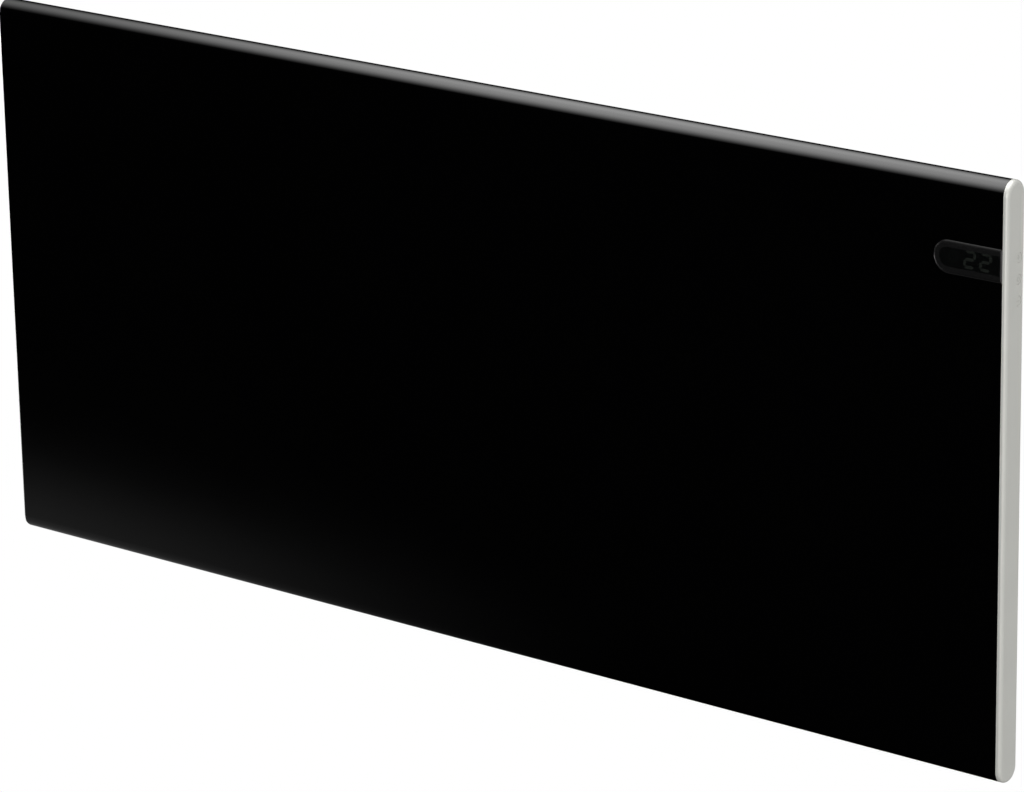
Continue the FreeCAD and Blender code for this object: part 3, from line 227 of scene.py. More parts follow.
class ScrewSizes(bpy.types.PropertyGroup):
    """The self-tapping screws behind the panel."""

    head_radius: length("Head radius", "Radius of a screw's head", 3.5)
    head_height: length("Head height", "Height of a screw's head", 2.1)
    dome: share("Dome", "How much of a full dome the head's curve takes", 0.86)
    recess_length: length("Recess length", "Length of the cross recess", 4.0)
    recess_width: length("Recess width", "Width of the arms of the cross recess", 0.95)
    recess_depth: length("Recess depth", "Depth of the cross recess", 1.2)
    recess_floor: share("Recess floor", "Share of the recess that is at full depth", 0.375)
    rings: count_of("Rings", "Rings of facets across a head", 18, 6)
    segments: count_of("Segments", "Facets round a head", 56, 16)
    turn: angle("Turn", "How much further each screw is turned than the one before", 37.0)
    flange: length("Flange", "Thickness of the flange under the heads", 0.8)
    casing_pitch: length("Casing pitch", "From one screw to the next along the lips", 150.0)
    edge_inset: length("Edge inset", "From the panel's edge to the row of screws", 21.0)
    cap_inset: length("Cap inset", "From the cap's face to its screws", 8.5)
    control_across: length("Control screws", "From the cap's face to the control housing's screws", 50.5)
    control_drop: length("Control drop", "From the panel's top edge to the control housing's middle", 59.6)
    control_rise: length("Control rise", "From the housing's middle to each of its screws", 21.8)
    zinc: colour("Screw zinc", "Colour of the plated screws", (0.50, 0.50, 0.51))


class GlandSizes(bpy.types.PropertyGroup):
    """The cord gland in the casing's right wall."""

    wall_inset: length("Wall inset", "From the mains switch's face in to the casing's wall", 2.0)
    rim_length: length("Rim", "Thickness of the rim on the casing", 2.5)
    rim_round: length("Rim rounding", "Radius along the rim's edge", 0.8)
    rim_steps: count_of("Rim steps", "Facets across the rim's rounding", 6, 2)
    sleeve_radius: length("Sleeve radius", "Radius of the sleeve at the rim", 6.6)
    sleeve_steps: count_of("Sleeve steps", "Facets along the sleeve", 36, 8)
    tip_radius: length("Tip radius", "Radius of the sleeve at its tip", 5.2)
    bore_radius: length("Bore radius", "Radius of the cord's bore", 3.6)
    grooves: count_of("Grooves", "Flexing grooves along the sleeve", 2, 0)
    groove_depth: length("Groove depth", "Depth of the flexing grooves", 0.6)
    groove_end: share("Groove end", "Where the grooves end, as a share of the sleeve", 0.9)
    segments: count_of("Segments", "Facets round the gland", 64, 16)


class RockerSizes(bpy.types.PropertyGroup):
    """The mains switch and its signs."""

    rest: angle("Rest angle", "How far the rocker leans at rest", -10.0)
    face_out: length("Face out", "From the hinge out to the middle of each half of the face", 4.8)
    face_rise: length("Face rise", "From the hinge up to the middle of each half of the face", 3.0)
    face_slope: angle("Face slope", "How far each half of the face leans out", 25.0)
    sign_size: length("Sign size", "Length of a sign", 3.0)
    sign_stroke: length("Sign stroke", "Width of the strokes of a sign", 0.5)
    sign_height: length("Sign height", "How far a sign stands on the rocker", 0.06)
    sign_white: colour("Sign white", "Colour of the signs", (0.72, 0.72, 0.70))
    body_black: colour("Switch colour", "Colour of the switch's body", (0.012, 0.012, 0.012))
    rocker_black: colour("Rocker colour", "Colour of the rocker", (0.016, 0.016, 0.016))


class BackFinish(bpy.types.PropertyGroup):
    """Casing, bracket and what is inside."""

    coat: colour("Powder coat", "Colour of the casing's powder coat", (0.016, 0.016, 0.0165))
    coat_grain: length("Coat grain", "Size of the powder coat's grain", 0.9)
    zinc: colour("Zinc", "Colour of the galvanised steel", (0.52, 0.53, 0.54))
    clip_steel: colour("Clip steel", "Colour of the blued spring clips", (0.22, 0.23, 0.26))
    edge_round: length("Edge rounding", "Rounding of sheet and moulded edges", 0.35)
    holder_black: colour("Holder colour", "Colour of the moulded holders", (0.014, 0.014, 0.014))
    aluminium: colour("Aluminium", "Colour of the element and its shield", (0.62, 0.62, 0.61))
    rod_steel: colour("Rod steel", "Colour of the element's rod and the sensor", (0.42, 0.41, 0.40))
    block_grey: colour("Block colour", "Colour of connector, terminals and relay", (0.30, 0.31, 0.32))
    lead_beige: colour("Lead colour", "Colour of the leads' insulation", (0.42, 0.38, 0.33))


class StageSizes(bpy.types.PropertyGroup):
    """Camera, lamps, floor and tent."""

    camera_place: position("Camera", "Where the camera stands", (1.8623, -2.3954, 0.9537))
    camera_turn: angle("Camera turn", "How far the camera looks to the left of straight ahead", 38.362)
    camera_tilt: angle("Camera tilt", "How far the camera looks down", 18.101)
    camera_roll: angle("Camera roll", "How far the camera leans", 1.03)
    focal_length: film_length("Focal length", "Lens of the camera", 175.2)
    sensor_width: film_length("Sensor width", "Width of the camera's film", 36.0)
    floor_drop: length("Floor drop", "From the heater's lowest edge to the floor", 1500.0)
    floor_size: length("Floor size", "Length of the floor's sides", 12000.0)
    floor_grey: colour("Floor", "Colour of the floor", (0.80, 0.80, 0.79))
    tent_radius: length("Tent radius", "From the heater to the cloth bent round it", 1400.0)
    tent_low: angle("Tent low edge", "Where the cloth begins, under and behind the heater", -165.0)
    tent_high: angle("Tent high edge", "Where the cloth ends, above and behind the heater", 177.0)
    tent_left: length("Tent left", "How far the cloth reaches to the left", 14000.0)
    tent_right: length("Tent right", "How far the cloth reaches to the right", 500.0)
    tent_steps: count_of("Tent steps", "Facets round the cloth's bend", 48, 12)
    glow_lag: angle("Glow lag", "How much further back the bright part begins at the left", 20.0)
    glow_strength: brightness("Glow", "Brightness of the cloth at the right", 4.8)
    glow_left: share("Glow at the left", "Brightness of the cloth at the left, as a share", 0.27)
    glow_side: share("Glow at the side", "Brightness of the cloth far to the left and low, as a share", 1.0)
    glow_above: share("Glow above", "Brightness of the side above the heater, as a share of that below", 0.5)
    haze: share("Haze", "Brightness of the cloth low on the left, as a share", 0.058)
    room_light: brightness("Room light", "Soft light from all round", 0.55)
    top_power: wattage("Top lamp", "Power of the soft lamp overhead", 18.0)
    top_place: position("Top lamp's place", "Where the lamp overhead hangs", (0.7, -0.2, 1.8))
    top_size: length("Top lamp's size", "Length of the sides of the lamp overhead", 1400.0)
    front_power: wattage("Front lamp", "Power of the lamp at the front right", 22.0)
    front_place: position("Front lamp's place", "Where the lamp at the front stands", (0.9, -2.2, 0.2))
    front_size: length("Front lamp's size", "Length of the sides of the lamp at the front", 500.0)


class HeaterLooks(bpy.types.PropertyGroup):
    """Everything about the heater's looks that a user would change."""

    panel: PointerProperty(name="Panel", type=PanelSizes)
    cap: PointerProperty(name="Caps and keys", type=CapFinish)
    display: PointerProperty(name="Display", type=DisplaySizes)
    screw: PointerProperty(name="Screws", type=ScrewSizes)
    gland: PointerProperty(name="Gland", type=GlandSizes)
    rocker: PointerProperty(name="Mains switch", type=RockerSizes)
    back: PointerProperty(name="Back", type=BackFinish)
    stage: PointerProperty(name="Stage", type=StageSizes)


class Value:
    """A socket of a finish. Sums, differences and products of values add Math nodes."""

    def __init__(self, finish, socket):
        self.finish = finish
        self.socket = socket

    def maths(self, operation, first, second):
        return self.finish.node("ShaderNodeMath", {"operation": operation}, {0: first, 1: second})

    def __add__(self, other):
        return self.maths("ADD", self, other)

    def __radd__(self, other):
        return self.maths("ADD", other, self)

    def __sub__(self, other):
        return self.maths("SUBTRACT", self, other)

    def __rsub__(self, other):
        return self.maths("SUBTRACT", other, self)

    def __mul__(self, other):
        return self.maths("MULTIPLY", self, other)

    def __rmul__(self, other):
        return self.maths("MULTIPLY", other, self)


class Finish:
    """A node tree being built: of a material, or of the world."""

    def __init__(self, owner):
        owner.use_nodes = True
        self.owner = owner
        self.tree = owner.node_tree

    def node(self, kind, settings, inputs, output=0):
        """Add a node, set it, fill its sockets with values or links, and give one of its outputs."""
        node = self.tree.nodes.new(kind)
        for setting, value in settings.items():
            if setting == "stops":
                self.set_stops(node.color_ramp, value)
            else:
                setattr(node, setting, value)
        for key, value in inputs.items():
            self.feed(node.inputs[key], value)
        return Value(self, node.outputs[output])

    def set_stops(self, ramp, stops):
        """Give a ramp its stops: places and colours."""
        while len(ramp.elements) < len(stops):
            ramp.elements.new(1.0)
        for element, (place, shade) in zip(ramp.elements, stops):
            element.position = place
            element.color = (*shade, 1.0)

    def feed(self, socket, value):
        """Link a value to a socket, or set it there."""
        if isinstance(value, Value):
            self.tree.links.new(value.socket, socket)
        elif socket.type == "RGBA" and len(value) == 3:
            socket.default_value = (*value, 1.0)
        else:
            socket.default_value = value

    def place(self):
        """The place on the piece, in metres."""
        return self.node("ShaderNodeTexCoord", {}, {}, "Object")

    def noise(self, size, detail=2.0, stretch=(1.0, 1.0, 1.0)):
        """Cloudy noise from 0 to 1 whose patches have about this size."""
        where = self.node("ShaderNodeVectorMath", {"operation": "MULTIPLY"}, {0: self.place(), 1: stretch})
        return self.node("ShaderNodeTexNoise", {}, {"Vector": where, "Scale": 1 / size, "Detail": detail})

    def blend(self, factor, first, second):
        """A colour between two others."""
        return self.node("ShaderNodeMix", {"data_type": "RGBA"}, {"Factor": factor, 6: first, 7: second}, 2)

    def mottle(self, factor, base, dark, light):
        """A colour that drifts between a darker and a lighter tone of a base colour."""
        return self.blend(factor, tinted(base, dark), tinted(base, light))

    def step(self, value, first, second):
        """A soft rise from 0, where a value is the first, to 1, where it is the second."""
        smooth = {"interpolation_type": "SMOOTHSTEP"}
        return self.node("ShaderNodeMapRange", smooth, {"Value": value, 1: first, 2: second})

    def bump(self, height, depth):
        """A normal that follows a height from 0 to 1 over this depth."""
        return self.node("ShaderNodeBump", {}, {"Strength": 1.0, "Distance": depth, "Height": height})

    def fill(self, **sockets):
        """Fill sockets of the Principled shader, with _ for the spaces in their names. Gives the material."""
        shader = self.tree.nodes["Principled BSDF"]
        for name, value in sockets.items():
            self.feed(shader.inputs[name.replace("_", " ")], value)
        return self.owner

    def surface(self, tone, roughness, height, depth):
        """Fill colour and roughness, with a bump of this depth that follows a height. Gives the material."""
        return self.fill(Base_Color=tone, Roughness=roughness, Normal=self.bump(height, depth))


def tinted(base, factor):
    """A colour made darker or lighter by a factor."""
    return tuple(min(1.0, part * factor) for part in base)


def new_finish(name, **sockets):
    """A finish with one Principled shader, whose sockets take numbers, colours or values."""
    finish = Finish(bpy.data.materials.new(name))
    finish.fill(**sockets)
    return finish


def lacquer(name, looks):
    """Gloss black lacquer with a faint orange peel and a little uneven depth."""
    patch, peel_size, peel_depth = 60 * MM, 2.2 * MM, 0.0025 * MM
    finish = new_finish(name, IOR=1.48)
    cloud = finish.noise(patch)
    tone = finish.mottle(cloud, looks.lacquer, 0.8, 1.25)
    peel = finish.noise(peel_size, 1.0)
    return finish.surface(tone, looks.gloss + 0.03 * cloud, peel, peel_depth)


def satin_paint(name, looks):
    """Satin silver paint with fine metal flakes."""
    patch, flake_size, flake_depth = 25 * MM, 0.35 * MM, 0.004 * MM
    finish = new_finish(name, Metallic=looks.flake_share, IOR=1.5)
    flake = finish.noise(flake_size, 1.0)
    shade = 0.5 * flake + 0.5 * finish.noise(patch)
    tone = finish.mottle(shade, looks.silver, 0.93, 1.07)
    return finish.surface(tone, looks.roughness + 0.08 * flake, flake, flake_depth)


def moulded(name, base, roughness=0.45, grain=0.5 * MM, depth=0.01 * MM):
    """Moulded plastic with a fine spark-eroded grain."""
    patch = 18 * MM
    finish = new_finish(name, IOR=1.5)
    texture = finish.noise(grain, 3.0)
    tone = finish.mottle(finish.noise(patch), base, 0.88, 1.14)
    return finish.surface(tone, roughness + 0.12 * texture, texture, depth)


def powder_coat(looks):
    """Fine-textured black powder coat."""
    patch, depth = 45 * MM, 0.035 * MM
    finish = new_finish("casing_powder_coat", IOR=1.5)
    grain = finish.noise(looks.coat_grain)
    tone = finish.mottle(finish.noise(patch), looks.coat, 0.85, 1.2)
    return finish.surface(tone, 0.48 + 0.16 * grain, grain, depth)


def bare_metal(name, base, roughness, patch, stretch=(1.0, 1.0, 1.0)):
    """Bare or plated metal with a cloudy surface and fine drawn lines."""
    line_width, line_depth = 0.6 * MM, 0.004 * MM
    finish = new_finish(name, Metallic=1.0)
    cloud = finish.noise(patch, 3.0)
    lines = finish.noise(line_width, 2.0, stretch)
    tone = finish.mottle(cloud, base, 0.82, 1.12)
    return finish.surface(tone, roughness + 0.12 * cloud + 0.08 * lines, lines, line_depth)


def rubber(name):
    """Soft black rubber with a dull bloom."""
    patch, grain, depth = 6 * MM, 0.8 * MM, 0.012 * MM
    finish = new_finish(name, IOR=1.5)
    bloom = finish.noise(patch, 3.0)
    tone = finish.blend(bloom, (0.012, 0.012, 0.012), (0.028, 0.028, 0.028))
    return finish.surface(tone, 0.68 + 0.14 * bloom, finish.noise(grain), depth)


def printed_board():
    """Green circuit board with fine copper tracks under its mask."""
    track_width, track_height = 1.6 * MM, 0.03 * MM
    finish = new_finish("printed_board", IOR=1.5)
    tracks = finish.noise(track_width, 0.0, (1.0, 1.0, 0.15))
    stops = ((0.46, (0.0, 0.0, 0.0)), (0.5, (1.0, 1.0, 1.0)))
    mask = finish.node("ShaderNodeValToRGB", {"stops": stops}, {0: tracks})
    tone = finish.blend(mask, (0.006, 0.055, 0.022), (0.012, 0.095, 0.038))
    return finish.surface(tone, 0.35 + 0.1 * tracks, mask, track_height)


def glazed_ceramic():
    """White ceramic with faint specks."""
    speck_size, speck_depth = 1.2 * MM, 0.008 * MM
    finish = new_finish("ceramic_white", IOR=1.52)
    speck = finish.noise(speck_size, 4.0)
    tone = finish.blend(speck, (0.66, 0.64, 0.58), (0.78, 0.77, 0.73))
    return finish.surface(tone, 0.35 + 0.15 * speck, speck, speck_depth)


def smoked_lens(looks):
    """Dark see-through pane that hides part of what is behind it."""
    patch = 9 * MM
    finish = new_finish("smoked_lens", IOR=1.49, Base_Color=(0.002, 0.0022, 0.0022))
    haze = finish.noise(patch)
    return finish.fill(Alpha=looks.smoke + 0.05 * haze, Roughness=0.05 + 0.03 * haze)


def lit_mark(name, looks, strength):
    """Lit segment: a pale diffuser that glows a little unevenly."""
    patch = 2.5 * MM
    finish = new_finish(name, Base_Color=(0.10, 0.11, 0.10), Roughness=0.6, Emission_Strength=strength)
    return finish.fill(Emission_Color=finish.mottle(finish.noise(patch), looks.glow, 0.8, 1.0))


def tent_cloth(looks):
    """Dark cloth, bright overhead and more so to the right, with a glow and a haze low on the left."""
    finish = new_finish(
        "tent_cloth",
        Base_Color=(0.0, 0.0, 0.0),
        Roughness=1.0,
        Specular_IOR_Level=0.0,
        Emission_Strength=looks.glow_strength,
    )
    scale = {0: finish.place(), "Scale": 1 / looks.tent_radius}
    where = finish.node("ShaderNodeVectorMath", {"operation": "SCALE"}, scale)
    x, y, z = (finish.node("ShaderNodeSeparateXYZ", {}, {0: where}, axis) for axis in range(3))
    rise = finish.node("ShaderNodeMath", {"operation": "ARCTAN2"}, {0: z, 1: 0 - y})
    rightwards = finish.step(x, *RIGHT_SHARES)
    along = looks.glow_left + (1 - looks.glow_left) * rightwards
    lagging = rise + looks.glow_lag * (rightwards - 1)
    overhead = finish.step(lagging, *GLOW_FRONT_RISES) * finish.step(rise, *GLOW_BACK_RISES)
    low_edge = finish.step(z, *HAZE_LOW_SHARES)
    corner = finish.step(x, *HAZE_RIGHT_SHARES) * finish.step(x, *HAZE_LEFT_SHARES)
    haze = corner * low_edge * low_edge * low_edge
    low = finish.step(rise, *SIDE_LOW_RISES) * finish.step(x, *SIDE_LEFT_SHARES)
    band = finish.step(rise, *BAND_LOW_RISES) * finish.step(rise, *BAND_HIGH_RISES)
    side = finish.step(x, *SIDE_RIGHT_SHARES) * (low + looks.glow_above * band)
    bright = overhead * along + looks.haze * haze + looks.glow_side * side
    return finish.fill(Emission_Color=finish.blend(bright, (0.0, 0.0, 0.0), (1.0, 1.0, 1.0)))


def dress(material, *nodes):
    """Give solid pieces a finish."""
    for name in nodes:
        for slot in frame["nodes"][name].material_slots:
            slot.material = material


def modify(piece, kind, **settings):
    """Add a modifier to a piece and set it."""
    modifier = piece.modifiers.new(kind.lower(), kind)
    for name, value in settings.items():
        setattr(modifier, name, value)


def soften(width, *nodes):
    """Round the sharp edges of solid pieces a little, with their flat faces kept flat."""
    weld_reach, flat_bend, sharp_bend = 0.002 * MM, math.radians(0.5), math.radians(50)
    for name in nodes:
        piece = frame["nodes"][name]
        modify(piece, "WELD", merge_threshold=weld_reach)
        modify(piece, "DECIMATE", decimate_type="DISSOLVE", angle_limit=flat_bend)
        sharp = {"limit_method": "ANGLE", "angle_limit": sharp_bend}
        modify(piece, "BEVEL", width=width, segments=2, harden_normals=True, **sharp)


def add_object(name, bm, material):
    """A finished mesh as an object of the scene."""
    data = bpy.data.meshes.new(name)
    bm.to_mesh(data)
    bm.free()
    data.materials.append(material)
    item = bpy.data.objects.new(name, data)
    bpy.context.scene.collection.objects.link(item)
    return item


def new_piece(name, bm, material, body):
    """A finished mesh as a piece that rides on a body."""
    piece = add_object(name, bm, material)
    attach(piece, body)
    return piece


def add_loops(bm, loops, closed=True, smooth=True):
    """Faces between rings of points that follow each other; each ring has as many points."""
    rings = [[bm.verts.new(point) for point in loop] for loop in loops]
    count = len(rings[0])
    for first, second in zip(rings, rings[1:]):
        for index in range(count if closed else count - 1):
            after = (index + 1) % count
            face = bm.faces.new((first[index], first[after], second[after], second[index]))
            face.smooth = smooth
    return rings


def add_plate(bm, outline, place, thick):
    """A thin plate: an outline of (u, v) points on a place's XY plane, raised along its Z."""
    low = [bm.verts.new(place @ Vector((u, v, 0.0))) for u, v in outline]
    high = [bm.verts.new(place @ Vector((u, v, thick))) for u, v in outline]
    bm.faces.new(high)
    bm.faces.new(low[::-1])
    for index in range(len(outline)):
        after = (index + 1) % len(outline)
        bm.faces.new((low[index], low[after], high[after], high[index]))


def round_turns(steps):
    """Angles that divide a full turn evenly."""
    return [2 * math.pi * step / steps for step in range(steps)]


def add_ring(bm, place, radius, stroke, thick, steps=40):
    """A flat ring on a place's XY plane, raised along its Z."""
    bore = radius - stroke
    loops = []
    for reach, rise in ((radius, 0.0), (radius, thick), (bore, thick), (bore, 0.0), (radius, 0.0)):
        circle = [(reach * math.cos(turn), reach * math.sin(turn), rise) for turn in round_turns(steps)]
        loops.append([place @ Vector(point) for point in circle])
    add_loops(bm, loops, smooth=False)
    bmesh.ops.remove_doubles(bm, verts=bm.verts, dist=JOIN)


def bar_outline(size, stroke):
    """The outline of a straight stroke."""
    u, v = size / 2, stroke / 2
    return [(-u, -v), (u, -v), (u, v), (-u, v)]


def plus_outline(size, stroke):
    """The outline of a plus sign."""
    u, v = size / 2, stroke / 2
    right, top = [(u, -v), (u, v), (v, v)], [(v, u), (-v, u), (-v, v)]
    left, bottom = [(-u, v), (-u, -v), (-v, -v)], [(-v, -u), (v, -u), (v, -v)]
    return [*right, *top, *left, *bottom]


def slot_outline(middle, centre, reach, end, steps):
    """The outline of a slot that is round at its left and open at its right, as (x, z) points."""
    points = [(end, centre - reach)]
    for step in range(steps + 1):
        turn = math.pi * (1.5 - step / steps)
        points.append((middle + reach * math.cos(turn), centre + reach * math.sin(turn)))
    points.append((end, centre + reach))
    return points


def axes(place, across, up):
    """A place whose X and Y axes run along two directions."""
    x, y = Vector(across).normalized(), Vector(up).normalized()
    turn = Matrix((x, y, x.cross(y))).transposed().to_4x4()
    return Matrix.Translation(place) @ turn


class HEATER_OT_front_panel(bpy.types.Operator):
    """Fold the lacquered front from one sheet, with half-round edges and the display's window"""

    bl_idname = "heater.front_panel"
    bl_label = "Front panel"

    def execute(self, context):
        looks = context.scene.heater_looks.panel
        bm = bmesh.new()
        top_left, top_right = self.add_edge(bm, looks, 1)
        bottom_left, bottom_right = self.add_edge(bm, looks, -1)
        half = (lens_high.z - lens_low.z) / 2 + looks.window_rim
        middle = lens_low.x - looks.window_rim + half
        centre = (lens_high.z + lens_low.z) / 2
        notch = slot_outline(middle, centre, half, panel_high.x, looks.window_steps)
        window = [bm.verts.new((x, panel_low.y, z)) for x, z in notch]
        bm.faces.new((bottom_left, bottom_right, *window, top_right, top_left))
        for edge in bm.edges:
            edge.smooth = not edge.is_boundary
        panel = new_piece("lacquered_front", bm, lacquer("panel_lacquer", looks), "heater")
        modify(panel, "SOLIDIFY", thickness=looks.sheet, offset=-1.0)
        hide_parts("front_panel")
        return {"FINISHED"}

    def add_edge(self, bm, looks, sign):
        """The half-round edge and the lip above (1) or below (-1). Gives its two corners on the front."""
        radius = (panel_high.y - panel_low.y) / 2
        middle = panel_low.y + radius
        straight = panel_high.z - radius
        places = []
        for step in range(looks.edge_steps + 1):
            turn = math.pi * step / looks.edge_steps
            places.append((middle - radius * math.cos(turn), sign * (straight + radius * math.sin(turn))))
        places.append((panel_high.y, sign * (straight - looks.lip)))
        rows = [[bm.verts.new((x, y, z)) for x in (panel_low.x, panel_high.x)] for y, z in places]
        for first, second in zip(rows, rows[1:]):
            corners = (*first, *reversed(second))
            face = bm.faces.new(corners if sign > 0 else corners[::-1])
            face.smooth = True
        return rows[0]


class HEATER_OT_end_caps(bpy.types.Operator):
    """Paint the right end cap in satin silver and the left one like the panel"""

    bl_idname = "heater.end_caps"
    bl_label = "End caps"

    def execute(self, context):
        looks = context.scene.heater_looks
        dress(satin_paint("cap_silver_paint", looks.cap), "end_cap_right")
        dress(lacquer("cap_lacquer", looks.panel), "end_cap_left")
        return {"FINISHED"}


class HEATER_OT_display(bpy.types.Operator):
    """Frame the display, smoke its lens and light its digits"""

    bl_idname = "heater.display"
    bl_label = "Display"

    def execute(self, context):
        looks = context.scene.heater_looks.display
        self.make_frame(looks, context.scene.heater_looks.panel.window_steps)
        self.make_marks(looks)
        dress(smoked_lens(looks), "display_lens")
        dress(moulded("module_black", looks.module_black, roughness=0.6), "display_module")
        return {"FINISHED"}

    def make_frame(self, looks, steps):
        """The frame round the lens: its crest curves back outwards and slopes down inwards to the lens."""
        width = looks.frame_width
        rim = looks.frame_gap + width
        half = (lens_high.z - lens_low.z) / 2 + rim
        middle = lens_low.x - rim + half
        right = min(lens_high.x + rim, panel_high.x - looks.frame_gap)
        centre = (lens_high.z + lens_low.z) / 2
        front = panel_low.y - looks.frame_proud
        back = panel_low.y + looks.frame_depth
        rows = [(0.0, back)]
        for step in range(looks.frame_steps + 1):
            inwards = step / looks.frame_steps
            rows.append((looks.frame_crest * inwards, front + looks.frame_fall * (1 - inwards) ** 2))
        inner = looks.frame_crest + looks.frame_slope
        rows += [(inner, lens_low.y - looks.slope_edge), (inner, lens_low.y), (width, lens_low.y)]
        rows += [(width, back), (0.0, back)]
        loops = []
        for inset, y in rows:
            outline = slot_outline(middle, centre, half - inset, right - min(inset, width), steps)
            loops.append([(x, y, z) for x, z in outline])
        bm = bmesh.new()
        add_loops(bm, loops)
        bmesh.ops.remove_doubles(bm, verts=bm.verts, dist=JOIN)
        bmesh.ops.recalc_face_normals(bm, faces=bm.faces)
        for edge in bm.edges:
            edge.smooth = edge.calc_face_angle(0.0) < looks.frame_crease
        material = moulded("frame_plastic", looks.frame_grey, roughness=0.2, grain=0.4 * MM, depth=0.002 * MM)
        display_frame = new_piece("display_frame", bm, material, "heater")
        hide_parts("control_bezel")

    def make_marks(self, looks):
        """Seven-segment digits on the module's face and a round icon behind the lens."""
        material = lit_mark("lit_digit", looks, looks.glow_strength)
        bm = bmesh.new()
        centre = (module_low + module_high) / 2
        centre.y = module_low.y
        span = looks.digit_pitch * (len(looks.digits) - 1)
        for index, figure in enumerate(looks.digits):
            middle = centre + Vector((index * looks.digit_pitch - span / 2, 0.0, 0.0))
            place = axes(middle, (1, 0, 0), (0, 0, 1))
            for segment in SEGMENTS_OF[figure]:
                add_plate(bm, self.segment_outline(looks, segment), place, looks.mark_thick)
        new_piece("display_digits", bm, material, "heater")
        bm = bmesh.new()
        spot = Vector((centre.x + span / 2 - looks.icon_offset, lens_high.y + 2 * looks.mark_thick, centre.z))
        place = axes(spot, (1, 0, 0), (0, 0, 1))
        add_ring(bm, place, looks.icon_radius, looks.icon_stroke, looks.mark_thick)
        material = lit_mark("lit_icon", looks, looks.glow_strength * looks.icon_glow)
        new_piece("display_icon", bm, material, "heater")

    def segment_outline(self, looks, segment):
        """The six-cornered outline of one segment, leaning with its digit."""
        u_share, v_share, upright = SEGMENT_PLACE_SHARES[segment]
        wide = looks.digit_width - looks.digit_stroke
        tall = (looks.digit_height - looks.digit_stroke) / 2
        u, v = u_share * wide / 2, v_share * tall
        side = looks.digit_stroke / 2
        reach = (tall if upright else wide) / 2 - looks.segment_gap
        tip = reach - side
        points = [(-reach, 0), (-tip, -side), (tip, -side), (reach, 0), (tip, side), (-tip, side)]
        if upright:
            points = [(-y, x) for x, y in points]
        lean = math.tan(looks.digit_lean)
        return [(u + x + lean * (v + y), v + y) for x, y in points]


class HEATER_OT_keys(bpy.types.Operator):
    """Paint the setting keys and print a plus, a ring and a minus on them"""

    bl_idname = "heater.keys"
    bl_label = "Keys"

    def execute(self, context):
        looks = context.scene.heater_looks.cap
        keys = ("button_plus", "button_ok", "button_minus")
        dress(satin_paint("key_silver_paint", looks), *keys)
        print_finish = moulded("key_mark_print", looks.mark_grey, roughness=0.5)
        for key in keys:
            low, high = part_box(key)
            face = Vector((high.x, (low.y + high.y) / 2, (low.z + high.z) / 2))
            place = axes(face, (0, 1, 0), (0, 0, 1))
            bm = bmesh.new()
            if key == "button_ok":
                add_ring(bm, place, looks.mark_size / 2, looks.mark_stroke, looks.mark_height)
            else:
                outline = plus_outline if key == "button_plus" else bar_outline
                add_plate(bm, outline(looks.mark_size, looks.mark_stroke), place, looks.mark_height)
            new_piece(f"{key}_mark", bm, print_finish, key)
        return {"FINISHED"}


class HEATER_OT_rocker(bpy.types.Operator):
    """Mould the mains switch in black, with its on and off signs"""

    bl_idname = "heater.rocker"
    bl_label = "Mains switch"

    def execute(self, context):
        looks = context.scene.heater_looks.rocker
        dress(moulded("switch_black", looks.body_black, roughness=0.4), "power_switch_body")
        gloss = moulded("rocker_black", looks.rocker_black, roughness=0.3, grain=0.4 * MM, depth=0.005 * MM)
        dress(gloss, "power_switch_rocker")
        material = moulded("switch_sign_white", looks.sign_white, roughness=0.5)
        hinge = Matrix.Translation(rocker_hinge["pos_m"]) @ Matrix.Rotation(looks.rest, 4, "Y")
        for name, half in (("on", 1), ("off", -1)):
            slope = Vector((math.sin(looks.face_slope), 0.0, half * math.cos(looks.face_slope)))
            middle = Vector((looks.face_out, 0.0, half * looks.face_rise))
            place = hinge @ axes(middle, (0, half, 0), slope)
            bm = bmesh.new()
            if name == "on":
                stroke = bar_outline(looks.sign_stroke, looks.sign_size)
                add_plate(bm, stroke, place, looks.sign_height)
            else:
                add_ring(bm, place, looks.sign_size / 2, looks.sign_stroke, looks.sign_height)
            new_piece(f"rocker_sign_{name}", bm, material, "rocker")
        return {"FINISHED"}


class HEATER_OT_gland(bpy.types.Operator):
    """Turn the rubber cord gland, with a rounded rim and a grooved sleeve"""

    bl_idname = "heater.gland"
    bl_label = "Cord gland"

    def execute(self, context):
        looks = context.scene.heater_looks.gland
        y, z = (gland_low.y + gland_high.y) / 2, (gland_low.z + gland_high.z) / 2
        circle = [(math.cos(turn), math.sin(turn)) for turn in round_turns(looks.segments)]
        loops = [[(x, y + reach * u, z + reach * v) for u, v in circle] for x, reach in self.profile(looks)]
        bm = bmesh.new()
        add_loops(bm, loops)
        bmesh.ops.recalc_face_normals(bm, faces=bm.faces)
        gland = new_piece("cord_gland", bm, rubber("gland_rubber"), "heater")
        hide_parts("cable_gland")
        return {"FINISHED"}

    def profile(self, looks):
        """From the wall over the rim, along the sleeve and back through the bore, as (x, radius) points."""
        wall = switch_high.x - looks.wall_inset
        rim_radius = (gland_high.z - gland_low.z) / 2
        start, tip = wall + looks.rim_length, gland_high.x
        points = [(wall, rim_radius)]
        for step in range(looks.rim_steps + 1):
            turn = math.pi / 2 * step / looks.rim_steps
            inset, fall = 1 - math.sin(turn), 1 - math.cos(turn)
            points.append((start - looks.rim_round * inset, rim_radius - looks.rim_round * fall))
        for step in range(looks.sleeve_steps + 1):
            part = step / looks.sleeve_steps
            reach = looks.sleeve_radius + (looks.tip_radius - looks.sleeve_radius) * part
            if looks.grooves and part < looks.groove_end:
                wave = -math.cos(2 * math.pi * (looks.grooves + 0.5) * part)
                reach -= looks.groove_depth * max(0.0, wave)
            points.append((start + (tip - start) * part, reach))
        return [*points, (tip, looks.bore_radius), (wall, looks.bore_radius), (wall, PIN)]


